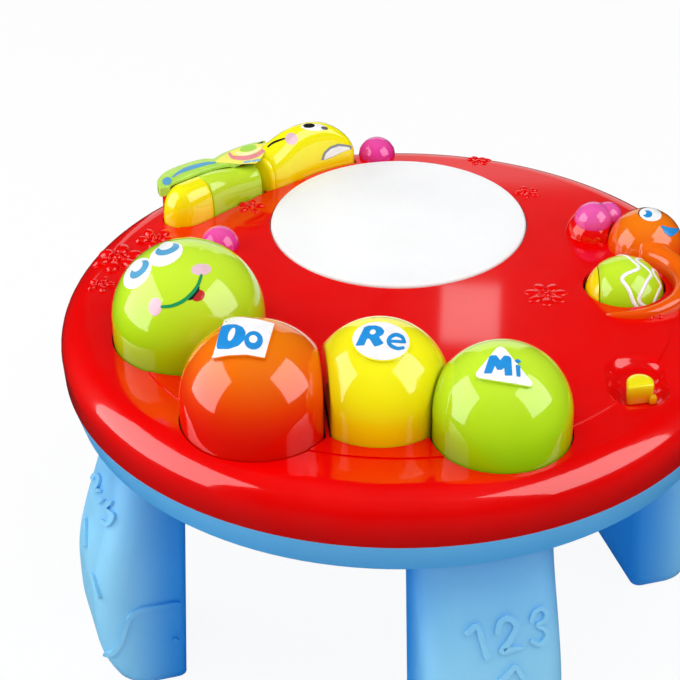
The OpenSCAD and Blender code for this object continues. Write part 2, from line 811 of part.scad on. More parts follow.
module main_board() {
    color([0.1, 0.42, 0.2]) {
        slab(board_z, board_z + board_t) translate([drum_c[0] - 28, drum_c[1] - 28]) square([56, 56]);
    }
    color([0.2, 0.2, 0.22]) for (x = [-1, 1]) for (y = [-1, 1])
        rod(drum_c + [24 * x, 24 * y], 3, floor_in, board_z);
}

module led_lamps() {
    color([0.95, 0.6, 0.6]) for (i = [0:2]) let (c = drum_c + 15 * [cos(30 + 120 * i), sin(30 + 120 * i)]) {
        rod(c, 2.5, board_z + board_t, board_z + board_t + 5);
        translate([c[0], c[1], board_z + board_t + 5]) sphere(2.4);
    }
}

// ---- butterfly -----------------------------------------------------------

// Arch across a piece: feet at the low edge, rounded top
function arch(base, dir, near, far, h, low) =
    let (n = 14, mid = (near + far) / 2, half = (far - near) / 2)
    concat([[base[0] + dir[0] * near, base[1] + dir[1] * near, low]],
           [for (j = [0:n]) let (a = 180 - 180 * j / n, k = mid + half * spow(cos(a), 0.8))
            [base[0] + dir[0] * k, base[1] + dir[1] * k, deck_z + h * spow(sin(a), 0.75)]],
           [[base[0] + dir[0] * far, base[1] + dir[1] * far, low]]);

function body_rings(s0, s1, steps, inset, low) =
    [for (i = [0:steps]) let (s = s0 + (s1 - s0) * (s0 < 0 ? 1 - cos(90 * i / steps) : i / steps),
                              near = body_near(s) - inset, far = body_far(s) - inset)
     arch([tail_c[0] + body_dir[0] * s, tail_c[1] + body_dir[1] * s], body_out,
          -max(near, 0.6), max(far, 0.6), max(body_top(s) - inset, 0.5), low)];

function head_top(u) = neck_h + (bfly_head_h - neck_h) * sin(180 * min(max(u, 0), 0.5))
    - (u > 0.5 ? (bfly_head_h - 8) * pow((u - 0.5) / 0.5, 2.6) : 0);

function head_rings(u0, u1, steps, inset, low) =
    [for (i = [0:steps]) let (u = u0 + (u1 - u0) * i / steps, m = head_mid(u))
     arch(drum_c, [cos(m[0]), sin(m[0])], m[1] + inset, m[2] - inset, head_top(u) - inset, low)];

// Tab that keeps a key from being lifted out
module key_tab(c, turn, reach, l) {
    translate([c[0], c[1], skirt_low]) rotate(turn) translate([-3, reach - 1, 0])
        cube([6, l + 1, flange_t]);
}

module butterfly_tail() {
    s0 = -bfly_tail_w * 0.985;
    color([1, 0.92, 0]) {
        difference() {
            loft(body_rings(s0, tail_seam - 0.15, 10, 0, skirt_low));
            loft(body_rings(s0 + key_t, tail_seam - key_t, 6, key_t, skirt_low - 1));
        }
        guide(tail_c, deck_z + bfly_tail_h - key_t + 0.5);
        key_tab(tail_c, body_turn, body_far(0), flange_w);
        key_tab(tail_c, body_turn + 180, body_near(0), flange_w);
    }
}

module butterfly_body() {
    mid = (tail_seam + bfly_body_l) / 2;
    c = along(tail_c, body_dir, mid, body_out, 0);
    color([0.7, 0.88, 0.1]) {
        difference() {
            loft(body_rings(tail_seam + 0.15, bfly_body_l - 0.3, 8, 0, skirt_low));
            loft(body_rings(tail_seam + key_t, bfly_body_l - key_t, 5, key_t, skirt_low - 1));
        }
        guide(c, deck_z + body_top(mid) - key_t + 0.5);
        key_tab(c, body_turn, body_far(mid), flange_w);
        key_tab(c, body_turn + 180, body_near(mid), flange_w);
    }
}

body_pin = along(tail_c, body_dir, (tail_seam + bfly_body_l) / 2, body_out, 0);
head_pin = let (m = head_mid(0.42)) drum_c + (m[1] + m[2]) / 2 * [cos(m[0]), sin(m[0])];

bfly_pins = [tail_c, body_pin, head_pin];
head_tab = 1.6;        // reach of the tabs on the head's curved side

module butterfly_head() {
    color([1, 0.92, 0]) {
        difference() {
            loft(head_rings(0.035, 1, 14, 0, skirt_low));
            loft(head_rings(0.08, 0.96, 9, key_t, skirt_low - 1));
        }
        guide(head_pin, deck_z + bfly_head_h - key_t - 0.6);
        for (u = [0.25, 0.65]) let (m = head_mid(u))
            key_tab(drum_c, m[0] - 90, m[1] + 1 - head_tab, head_tab);
        let (m = head_mid(1), r = (m[1] + m[2]) / 2)
            key_tab(drum_c + r * [cos(m[0]), sin(m[0])], m[0] - 180, 0, flange_w);
    }
}

module butterfly_frame() {
    color([0.2, 0.2, 0.22]) difference() {
        slab(frame_z, frame_top) {
            bar(bfly_pins[0], bfly_pins[1], 12);
            bar(bfly_pins[1], bfly_pins[2], 12);
            bar(bfly_pins[0], bfly_posts[0], 8);
            bar(bfly_pins[0], bfly_posts[1], 8);
            bar(bfly_pins[2], bfly_posts[2], 8);
        }
        for (c = bfly_pins) rod(c, pin_r + pin_gap, frame_z - 1, frame_top + 1);
        carrier_holes(bfly_posts);
    }
    color([0.2, 0.2, 0.22]) for (i = [0:1]) let (m = (bfly_pins[i] + bfly_pins[i + 1]) / 2)
        rod(m, 3, board_z + board_t, frame_z + eps);
}

module butterfly_board() {
    color([0.1, 0.42, 0.2]) slab(board_z, board_z + board_t) {
        for (i = [0:1]) bar(bfly_pins[i], bfly_pins[i + 1], 13);
    }
}

module butterfly_wing() {
    color([0.8, 0.9, 0.3]) slab(wing_z, wing_z + wing_t) wing_outline();
}

module butterfly_feeler() {
    color([0.93, 0.2, 0.6]) translate([bfly_ball_c[0], bfly_ball_c[1], deck_z - 1]) sphere(bfly_ball_r);
}

// ---- snail ---------------------------------------------------------------

// Slice of the ball-shaped roller between two places along its axle
module roller_slice(x0, x1) {
    intersection() {
        rotate_extrude() intersection() {
            circle(roller_r);
            translate([0, -roller_r - 1]) square(2 * roller_r + 2);
        }
        translate([0, 0, x0]) cylinder(r = roller_r + 1, h = x1 - x0);
    }
}

module on_roller_axis() {
    translate([roller_c[0], roller_c[1], roller_z]) rotate([0, 90, 0]) children();
}

roller_end = roller_l / 2;
cap_seam = -roller_end + roller_cap_l;
cheek_t = 3;
cheek_x = roller_end + 0.8 + cheek_t / 2;
cradle_z = roller_z - roller_r - 1 - frame_t;
snail_ring_r = 26.4;

module snail_roller() {
    color([0.72, 0.9, 0.1]) on_roller_axis() difference() {
        roller_slice(cap_seam + 0.15, roller_end);
        cylinder(r = axle_r + 0.06, h = 60, center = true);
    }
}

module roller_cap() {
    color([1, 0.85, 0]) on_roller_axis() difference() {
        roller_slice(-roller_end, cap_seam);
        cylinder(r = axle_r + 0.06, h = 60, center = true);
    }
}

module roller_axle() {
    color("silver") on_roller_axis() cylinder(r = axle_r, h = 2 * cheek_x + cheek_t, center = true);
}

// Cradle under the play surface with a cheek at each end of the axle
module roller_bracket() {
    color([0.2, 0.2, 0.22]) difference() {
        union() {
            for (x = [-1, 1]) translate([roller_c[0] + x * cheek_x - cheek_t / 2, roller_c[1] - 7, cradle_z])
                cube([cheek_t, 14, under_z - cradle_z]);
            slab(cradle_z, cradle_z + frame_t) {
                bar(roller_c - [cheek_x - 5, 0], roller_c + [cheek_x - 5, 0], 14);
                bar(snail_posts[0], snail_posts[1], 9);
            }
        }
        on_roller_axis() cylinder(r = axle_r + 0.02, h = 60, center = true);
        for (p = snail_posts) rod(p, post_screw_r + 0.15, cradle_z - 1, cradle_z + frame_t + 1);
    }
}

module snail_body() {
    from = -113;
    to = 66;
    rows = 20;
    rings = [for (i = [0:rows]) let (k = 1 - i / rows, a = from + (to - from) * i / rows,
                                     w = 0.7 + 6.3 * pow(1 - k, 0.8), h = 0.6 + 8.9 * pow(1 - k, 0.7),
                                     d = [cos(a), sin(a)], c = roller_c + snail_ring_r * d)
             [for (j = [0:12]) let (b = 180 * j / 12, m = w * spow(cos(b), 0.8))
              [c[0] + d[0] * m, c[1] + d[1] * m, deck_z + h * spow(sin(b), 0.8)]]];
    color([0.95, 0.42, 0.03]) {
        loft(rings);
        ball_mound(snail_head_c, deck_z, snail_head_r, deck_z);
    }
}

// Feeler ball, turned so that its seam lies away from the other ball
module snail_ball(i, g) {
    d = snail_balls[1] - snail_balls[0];
    translate([snail_balls[i][0], snail_balls[i][1], snail_ball_z])
        rotate(atan2(d[1], d[0]) + 180 * (1 - i)) sphere((i == 0 ? snail_ball_r : snail_far_ball_r) + g);
}

module snail_feelers() {
    color([0.93, 0.2, 0.6]) for (i = [0:1]) snail_ball(i, 0);
}

// ---- slide switch --------------------------------------------------------

module switch_knob() {
    color([1, 0.9, 0]) {
        slab(dish_z + fit, dish_z + knob_h) {
            translate(knob_c) circle(knob_w / 2);
            translate(knob_c - [knob_w / 2, knob_w / 2]) square([knob_w, knob_w / 2]);
        }
        translate([knob_c[0] - 2, knob_c[1] - 2, dish_z - wall - 4]) cube([4, 4, wall + 5]);
    }
}

module slide_switch() {
    low = dish_z - wall - 7;
    color([0.6, 0.6, 0.62]) difference() {
        translate([knob_c[0] - 6, knob_c[1] - 6, low]) cube([12, knob_travel + 12, 6.7]);
        translate([knob_c[0] - 3, knob_c[1] - 3, low + 2]) cube([6, knob_travel + 6, 6]);
    }
}

// ---- sound unit and fasteners ---------------------------------------------

module speaker() {
    color([0.3, 0.3, 0.32]) {
        rod(speaker_c, speaker_r, floor_in, floor_in + 3);
        rod(speaker_c, speaker_r * 0.5, floor_in + 3, floor_in + speaker_h);
    }
}

module speaker_ring() {
    color([0.2, 0.2, 0.22]) difference() {
        rod(speaker_c, speaker_r + 2, floor_in + 5, floor_in + 6.5);
        rod(speaker_c, speaker_r - 3, floor_in + 4, floor_in + 8);
    }
}

module batteries() {
    color([0.3, 0.35, 0.6]) for (i = [0:cells - 1]) {
        y = well_c[1] + (i - (cells - 1) / 2) * (2 * cell_r + 0.4);
        translate([well_c[0] - cell_l / 2, y, floor_z + door_t + 0.6 + cell_r]) rotate([0, 90, 0]) {
            cylinder(r = cell_r, h = cell_l - 1);
            cylinder(r = 2.7, h = cell_l);
        }
    }
}

module battery_contacts() {
    color("gold") for (i = [0:cells - 1]) for (x = [-1, 1]) {
        y = well_c[1] + (i - (cells - 1) / 2) * (2 * cell_r + 0.4);
        translate([well_c[0] + x * (well_l / 2 - 0.6) - 0.4, y - 5, floor_z + door_t + 2])
            cube([0.8, 10, 11]);
    }
}

module battery_door() {
    color([0.39, 0.71, 0.91]) difference() {
        slab(floor_z, floor_z + door_t) well_outline(3 - door_gap);
        rod([well_c[0] + well_l / 2 + 0.2, well_c[1]], 1.6, floor_z - 1, floor_z + 4);
    }
}

module door_screw() {
    c = [well_c[0] + well_l / 2 + 0.2, well_c[1]];
    color("silver") rod(c, 1.5, floor_z + 0.3, floor_z + door_t + 0.2);
}

module shell_screws() {
    color("silver") for (a = boss_turns) {
        rod(polar(boss_reach, a), 1.2, seam_h - 4, seam_h + 9);
        rod(polar(boss_reach, a), 2.6, seam_h - 6, seam_h - 4);
    }
}

module frame_screws() {
    color("silver") {
        carrier_screws(key_posts, frame_top);
        carrier_screws(drum_posts, frame_top);
        carrier_screws(bfly_posts, frame_top);
        carrier_screws(snail_posts, cradle_z + frame_t);
    }
}

// ---- assembly ------------------------------------------------------------

top_shell();
base_shell();
leg(0);  // leg_front
leg(1);  // leg_right
leg(2);  // leg_back
leg(3);  // leg_left
shell_screws();
drum_pad();
for (i = [0:2]) coil(drum_spring_c(i));  // drum_springs
drum_frame();
frame_screws();
key_do();
key_re();
key_mi();
worm_head();
coil(do_c);  // spring_do
coil(re_c);  // spring_re
coil(mi_c);  // spring_mi
coil(head_c);  // spring_head
key_frame();
key_board();
contact_pads();
worm_feelers();
butterfly_tail();
butterfly_body();
butterfly_head();
coil(bfly_pins[0]);  // spring_butterfly_tail
coil(bfly_pins[1]);  // spring_butterfly_body
coil(bfly_pins[2]);  // spring_butterfly_head
butterfly_frame();
butterfly_board();
butterfly_wing();
butterfly_feeler();
snail_body();
snail_roller();
roller_cap();
roller_axle();
roller_bracket();
snail_feelers();
switch_knob();
slide_switch();
main_board();
led_lamps();
speaker();
speaker_ring();
batteries();
battery_contacts();
battery_door();
door_screw();
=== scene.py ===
"""Looks of a toddler's musical activity table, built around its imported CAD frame.

Sizes are millimetres in the table's own frame (floor at z = 0, +Z up, the three big keys
towards -Y) and become metres where a mesh is made.
"""

import json
import logging
from dataclasses import dataclass, field
from enum import Enum
from math import acos, asin, atan2, copysign, cos, degrees, exp, hypot, pi, radians, sin, sqrt
from typing import Any, Callable, Iterable, Sequence

import bmesh
import bpy
from mathutils import Matrix, Vector
from mathutils.bvhtree import BVHTree

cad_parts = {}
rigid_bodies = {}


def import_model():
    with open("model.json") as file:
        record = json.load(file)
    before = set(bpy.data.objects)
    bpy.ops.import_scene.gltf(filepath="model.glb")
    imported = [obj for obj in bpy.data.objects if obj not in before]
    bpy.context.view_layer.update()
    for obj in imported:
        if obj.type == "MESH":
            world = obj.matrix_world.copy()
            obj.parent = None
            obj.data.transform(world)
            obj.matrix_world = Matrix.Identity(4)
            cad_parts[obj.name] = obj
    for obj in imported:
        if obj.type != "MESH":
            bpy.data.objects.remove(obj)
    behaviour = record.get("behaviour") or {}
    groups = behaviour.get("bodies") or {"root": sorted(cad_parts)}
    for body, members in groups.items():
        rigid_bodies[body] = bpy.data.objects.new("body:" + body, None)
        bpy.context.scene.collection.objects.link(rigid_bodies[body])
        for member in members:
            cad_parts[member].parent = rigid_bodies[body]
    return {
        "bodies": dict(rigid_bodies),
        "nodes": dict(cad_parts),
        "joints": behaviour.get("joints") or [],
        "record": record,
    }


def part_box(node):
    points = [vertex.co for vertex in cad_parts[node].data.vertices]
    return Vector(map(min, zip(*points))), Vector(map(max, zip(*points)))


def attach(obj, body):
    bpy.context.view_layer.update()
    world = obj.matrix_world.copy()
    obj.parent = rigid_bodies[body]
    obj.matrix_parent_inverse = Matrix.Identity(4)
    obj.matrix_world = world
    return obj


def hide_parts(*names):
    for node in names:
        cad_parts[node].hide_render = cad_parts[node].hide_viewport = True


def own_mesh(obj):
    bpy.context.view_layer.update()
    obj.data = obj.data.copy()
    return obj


log = logging.getLogger("activity_table")

MM = 0.001

# Heights shared by every sub-assembly, as in the frame
SEAM_Z = 143.0
DECK_Z = 166.6
DOME_Z = 176.2
SKIRT_Z = 161.3
FLOOR_Z = 128.3

# The drum, and the guide pins with their flanges under every press key
DRUM_AT = (0.0, 69.6)
DRUM_PIN_TURNS = (90.0, 210.0, 330.0)
DRUM_PIN_REACH = 44.0
PIN_R = 3.0
PIN_FOOT_Z = 144.0
FLANGE_R = 6.2
FLANGE_Z = 156.6
FLANGE_T = 2.0

# Node kinds that come back often
NOISE = "ShaderNodeTexNoise"
RANGE = "ShaderNodeMapRange"
VECTOR = "ShaderNodeVectorMath"
BUMP = "ShaderNodeBump"
MIXED = "ShaderNodeMixShader"
AXES = "ShaderNodeCombineXYZ"
MOVED = "GeometryNodeSetPosition"
SCALED = "GeometryNodeTransform"
SPHERE = "GeometryNodeMeshUVSphere"

Piece = bpy.types.Object
Material = bpy.types.Material
Socket = bpy.types.NodeSocket
Feed = bpy.types.NodeSocket | bpy.types.Node
Shape = bmesh.types.BMesh
Point2 = tuple[float, float]
Placer = Callable[[float, float, float], Vector]


# ---- small tools ----


def linear(code: str) -> tuple[float, float, float, float]:
    """Turns an sRGB hex colour into linear RGBA.

    Args:
        code: Six hex digits, such as "e80010".

    Returns:
        Linear red, green, blue and an alpha of one.
    """
    parts = [int(code[i : i + 2], 16) / 255 for i in (0, 2, 4)]
    done = [c / 12.92 if c <= 0.04045 else ((c + 0.055) / 1.055) ** 2.4 for c in parts]
    return done[0], done[1], done[2], 1.0


def fill(entry: Socket, value: Any) -> None:
    """Sets an input to a plain value, or links it to a socket or to a node's first output."""
    if isinstance(value, bpy.types.Node):
        value = value.outputs[0]
    if isinstance(value, Socket):
        entry.id_data.links.new(value, entry)
    else:
        entry.default_value = value


def add_node(tree: bpy.types.NodeTree, kind: str, *settings: dict[Any, Any]) -> bpy.types.Node:
    """Adds one node to a tree.

    Args:
        tree: The node tree.
        kind: The node's type name.
        settings: Lower-case keys are the node's properties. Other keys are its inputs, and
            take a plain value, a socket, or a node for its first output.

    Returns:
        The new node.
    """
    node = tree.nodes.new(kind)
    for part in settings:
        for key, value in part.items():
            if isinstance(key, str) and key.islower():
                setattr(node, key, value)
            else:
                fill(node.inputs[key], value)
    return node


def smooth_step(x: float) -> float:
    """Returns x clamped to 0..1 and eased at both ends."""
    c = min(max(x, 0.0), 1.0)
    return c * c * (3 - 2 * c)


def signed_power(x: float, p: float) -> float:
    """Returns the power of a number's size with its sign kept."""
    return copysign(abs(x) ** p, x)


def polar(turn: float, reach: float) -> Point2:
    """Returns the point at a direction in degrees and a distance."""
    return reach * cos(radians(turn)), reach * sin(radians(turn))


def linked(name: str, data: Any) -> Piece:
    """Makes an object for some data and links it to the scene."""
    piece = bpy.data.objects.new(name, data)
    bpy.context.scene.collection.objects.link(piece)
    return piece


def smoothed(piece: Piece) -> Piece:
    """Shades every face of a piece smoothly."""
    for polygon in piece.data.polygons:
        polygon.use_smooth = True
    return piece


def finish_mesh(name: str, mesh: bpy.types.Mesh, sharp: float = 40.0) -> Piece:
    """Shades a mesh smoothly up to an angle and links an object for it.

    Args:
        name: The piece's name.
        mesh: Its mesh, in metres.
        sharp: Edges steeper than this many degrees stay crisp.

    Returns:
        The linked object, at the origin.
    """
    mesh.name = name
    piece = smoothed(linked(name, mesh))
    mesh.set_sharp_from_angle(angle=radians(sharp))
    return piece


def from_bmesh(name: str, bm: Shape, sharp: float = 40.0) -> Piece:
    """Makes an object of a bmesh, with its faces turned outwards.

    Args:
        name: The piece's name.
        bm: Its shape in millimetres; it is used up.
        sharp: Edges steeper than this many degrees stay crisp.

    Returns:
        The linked object, in metres.
    """
    bmesh.ops.remove_doubles(bm, verts=bm.verts, dist=1e-4)
    bmesh.ops.recalc_face_normals(bm, faces=bm.faces)
    bmesh.ops.scale(bm, vec=(MM, MM, MM), verts=bm.verts)
    mesh = bpy.data.meshes.new(name)
    bm.to_mesh(mesh)
    bm.free()
    return finish_mesh(name, mesh, sharp)


def add_loft(bm: Shape, rings: Sequence[Sequence[Sequence[float]]]) -> None:
    """Adds a closed skin through rings of equal length; a ring of one point is a pole.

    Args:
        bm: The bmesh that takes the skin.
        rings: Closed rings of points, from one end to the other.
    """
    rows = [[bm.verts.new(p) for p in ring] for ring in rings]
    for low, high in zip(rows, rows[1:]):
        n = max(len(low), len(high))
        for i in range(n):
            k = (i + 1) % n
            if len(low) == 1:
                bm.faces.new((low[0], high[k], high[i]))
            elif len(high) == 1:
                bm.faces.new((low[i], low[k], high[0]))
            else:
                bm.faces.new((low[i], low[k], high[k], high[i]))
    for ring in (rows[0], rows[-1]):
        if len(ring) > 2:
            bm.faces.new(ring)


def add_turned(
    bm: Shape, centre: Sequence[float], profile: Sequence[Point2], segments: int
) -> None:
    """Adds a body of revolution about a vertical axis; radius 0 gives a pole.

    Args:
        bm: The bmesh that takes the body.
        centre: The axis' x and y.
        profile: Radius and height pairs along the outline.
        segments: Number of steps round the axis.
    """
    rings = []
    for r, z in profile:
        if r == 0:
            rings.append([(centre[0], centre[1], z)])
            continue
        turns = [2 * pi * i / segments for i in range(segments)]
        rings.append([(centre[0] + r * cos(a), centre[1] + r * sin(a), z) for a in turns])
    add_loft(bm, rings)


def add_pin(bm: Shape, centre: Sequence[float], top: float, flange: bool = True) -> None:
    """Adds a key's guide pin.

    Args:
        bm: The bmesh that takes the pin.
        centre: The pin's x and y.
        top: Height of its upper end, inside the key.
        flange: Whether it has the flange that a spring pushes on.
    """
    add_turned(bm, centre, [(0, PIN_FOOT_Z), (PIN_R, PIN_FOOT_Z), (PIN_R, top), (0, top)], 24)
    if flange:
        low, high = FLANGE_Z, FLANGE_Z + FLANGE_T
        add_turned(bm, centre, [(0, low), (FLANGE_R, low), (FLANGE_R, high), (0, high)], 32)


def add_ball(bm: Shape, centre: Vector, radius: float, low: float = -1.2) -> None:
    """Adds a feeler ball: upright seam bead round its girth and a foot under the surface.

    Args:
        bm: The bmesh that takes the ball.
        centre: The ball's centre.
        radius: Its radius.
        low: Height of its foot below or above the centre.
    """
    profile: list[Point2] = [(0.0, centre.z + radius)]
    foot = acos(max(low / radius, -1.0))
    for i in range(1, 41):
        a = foot * i / 40
        swell = 0.12 * exp(-(((a - pi / 2.6) * radius / 0.5) ** 2))
        profile.append(((radius + swell) * sin(a), centre.z + (radius + swell) * cos(a)))
    profile.append((0.0, centre.z + low))
    add_turned(bm, (centre.x, centre.y), profile, 64)


def shaped_mesh(piece: Piece) -> bpy.types.Mesh:
    """Returns a new mesh of an object as its modifiers or its curve shape it."""
    graph = bpy.context.evaluated_depsgraph_get()
    return bpy.data.meshes.new_from_object(piece.evaluated_get(graph))


def baked(piece: Piece) -> Piece:
    """Applies a piece's modifiers to its mesh.

    Args:
        piece: The piece.

    Returns:
        The same piece.
    """
    old, mesh = piece.data, shaped_mesh(piece)
    piece.modifiers.clear()
    piece.data = mesh
    bpy.data.meshes.remove(old)
    return piece


@dataclass
class Growth:
    """A geometry node tree with named inputs, baked into plain meshes."""

    name: str
    tree: bpy.types.NodeTree = field(init=False)
    entry: bpy.types.Node = field(init=False)

    def __post_init__(self) -> None:
        """Starts the tree with its geometry output and its group input."""
        self.tree = bpy.data.node_groups.new(self.name, "GeometryNodeTree")
        self.tree.interface.new_socket("Geometry", in_out="OUTPUT", socket_type="NodeSocketGeometry")
        self.tree.interface.new_socket("Base", in_out="INPUT", socket_type="NodeSocketGeometry")
        self.entry = self.add("NodeGroupInput")

    def add(self, kind: str, *settings: dict[Any, Any]) -> bpy.types.Node:
        """Adds one node to the tree."""
        return add_node(self.tree, kind, *settings)

    def size(self, name: str, whole: bool = False) -> Socket:
        """Adds a named input and returns its socket in the tree."""
        kind = "NodeSocketInt" if whole else "NodeSocketFloat"
        self.tree.interface.new_socket(name, in_out="INPUT", socket_type=kind)
        return self.entry.outputs[name]

    def math(self, operation: str, *values: float | Feed) -> Socket:
        """Adds a sum and returns its result."""
        return self.add("ShaderNodeMath", {"operation": operation}, dict(enumerate(values))).outputs[0]

    def close(self, geometry: Feed, material: Material) -> None:
        """Ends the tree: instances become real and take their material."""
        real = self.add("GeometryNodeRealizeInstances", {0: geometry})
        painted = self.add("GeometryNodeSetMaterial", {"Geometry": real, "Material": material})
        self.add("NodeGroupOutput", {0: painted})

    def set_on_base(self, shape: Feed, material: Material) -> None:
        """Ends the tree with a copy of a shape on every base point."""
        points = {"Points": self.entry.outputs["Base"], "Instance": shape}
        self.close(self.add("GeometryNodeInstanceOnPoints", points), material)

    def grow(self, name: str, points: Sequence[Sequence[float]], sizes: dict[str, float]) -> Piece:
        """Bakes the tree on some base points.

        Args:
            name: The piece's name.
            points: Base points in metres.
            sizes: Values of the named inputs.

        Returns:
            A plain mesh object.
        """
        mesh = bpy.data.meshes.new(name)
        mesh.from_pydata([tuple(p) for p in points], [], [])
        piece = linked(name, mesh)
        modifier = piece.modifiers.new("growth", "NODES")
        modifier.node_group = self.tree
        for item in self.tree.interface.items_tree:
            if item.in_out == "INPUT" and item.name in sizes:
                modifier[item.identifier] = sizes[item.name]
        baked(piece)
        piece.data.name = name
        return piece


def draped(piece: Piece, surface: BVHTree, centre: Point2, turn: float = 0.0) -> Piece:
    """Moves a relief to its place and lets it follow the surface below it.

    Args:
        piece: The relief, made round the origin in metres.
        surface: The surface's search tree, in metres.
        centre: The relief's place in millimetres.
        turn: Degrees that it is turned by.

    Returns:
        The relief.
    """
    spin = Matrix.Rotation(radians(turn), 4, "Z")
    spin.translation = Vector((centre[0] * MM, centre[1] * MM, 0))
    surface_top = (DECK_Z - 12) * MM
    for vertex in piece.data.vertices:
        spot = spin @ vertex.co
        hit, _, _, _ = surface.ray_cast(Vector((spot.x, spot.y, 1.0)), Vector((0, 0, -1)))
        if hit is None:
            hit, _, _, _ = surface.find_nearest(Vector((spot.x, spot.y, surface_top)))
        vertex.co = Vector((hit.x, hit.y, hit.z + vertex.co.z))
    piece.data.update()
    return piece


def surface_of(piece: Piece) -> BVHTree:
    """Returns a search tree of a piece's faces, in metres."""
    mesh = piece.data
    return BVHTree.FromPolygons(
        [v.co.copy() for v in mesh.vertices], [list(p.vertices) for p in mesh.polygons]
    )


# ---- flat outlines that are laid on a surface ----


def ellipse(x: float, y: float, rx: float, ry: float, turn: float = 0.0, n: int = 28) -> list[Point2]:
    """Draws an ellipse.

    Args:
        x: Its middle, to the right.
        y: Its middle, the other way.
        rx: Half its length.
        ry: Half its width.
        turn: Degrees that it is turned by.
        n: Number of points.

    Returns:
        The closed outline.
    """
    c, s = cos(radians(turn)), sin(radians(turn))
    done = []
    for i in range(n):
        u, v = rx * cos(2 * pi * i / n), ry * sin(2 * pi * i / n)
        done.append((x + c * u - s * v, y + s * u + c * v))
    return done


def rounded(corners: Sequence[Point2], radius: float, steps: int = 5) -> list[Point2]:
    """Rounds the corners of a polygon.

    Args:
        corners: The polygon's corners in order.
        radius: How far from a corner its rounding starts.
        steps: Points on each rounding.

    Returns:
        The rounded outline.
    """
    done = []
    n = len(corners)
    for i, corner in enumerate(corners):
        here = Vector(corner)
        before = (Vector(corners[i - 1]) - here).normalized() * radius + here
        after = (Vector(corners[(i + 1) % n]) - here).normalized() * radius + here
        for j in range(steps + 1):
            t = j / steps
            p = before * (1 - t) ** 2 + here * 2 * t * (1 - t) + after * t * t
            done.append((p.x, p.y))
    return done


def curve_through(points: Sequence[Point2], steps: int = 6) -> list[Point2]:
    """Draws a smooth line through a few points (Catmull-Rom).

    Args:
        points: The points in order.
        steps: Steps from one point to the next.

    Returns:
        The line's points.
    """
    ends = [Vector(points[0]) * 2 - Vector(points[1]), *map(Vector, points)]
    ends.append(Vector(points[-1]) * 2 - Vector(points[-2]))
    done = []
    for a, b, c, d in zip(ends, ends[1:], ends[2:], ends[3:]):
        for j in range(steps):
            t = j / steps
            p = 0.5 * (2 * b + (c - a) * t + (2 * a - 5 * b + 4 * c - d) * t * t
                       + (3 * b - a - 3 * c + d) * t**3)
            done.append((p.x, p.y))
    done.append(tuple(points[-1]))
    return done


def stroke(points: Sequence[Point2], width: float, taper: float = 1.0) -> list[Point2]:
    """Returns the outline of a brush stroke with round ends.

    Args:
        points: The stroke's middle line.
        width: Its width in the middle.
        taper: Width at the ends as a share of the width.

    Returns:
        The closed outline.
    """
    line = [Vector(p) for p in points]
    n = len(line) - 1
    left, right = [], []
    for i, p in enumerate(line):
        d = (line[min(i + 1, n)] - line[max(i - 1, 0)]).normalized()
        half = width / 2 * (taper + (1 - taper) * sin(pi * i / n))
        side = Vector((-d.y, d.x)) * half
        left.append(p + side)
        right.append(p - side)
    outline = list(left)
    for end, start, stop in ((line[-1], left[-1], right[-1]), (line[0], right[0], left[0])):
        if end is line[0]:
            outline += reversed(right)
        r = (start - end).length
        a0 = atan2(start.y - end.y, start.x - end.x)
        outline += [end + Vector((cos(a0 - a), sin(a0 - a))) * r
                    for a in (pi * k / 5 for k in range(1, 5))]
    return [(p.x, p.y) for p in outline]


def flat_outlines(outlines: Sequence[Sequence[Point2]]) -> bpy.types.Mesh:
    """Fills closed outlines in a plane.

    Args:
        outlines: The outlines; one inside another is a hole.

    Returns:
        The flat mesh.
    """
    curve = bpy.data.curves.new("outline", "CURVE")
    curve.dimensions = "2D"
    curve.fill_mode = "BOTH"
    for outline in outlines:
        spline = curve.splines.new("POLY")
        spline.points.add(len(outline) - 1)
        for point, (x, y) in zip(spline.points, outline):
            point.co = (x, y, 0, 1)
        spline.use_cyclic_u = True
    holder = linked("holder", curve)
    mesh = shaped_mesh(holder)
    bpy.data.objects.remove(holder)
    bpy.data.curves.remove(curve)
    return mesh


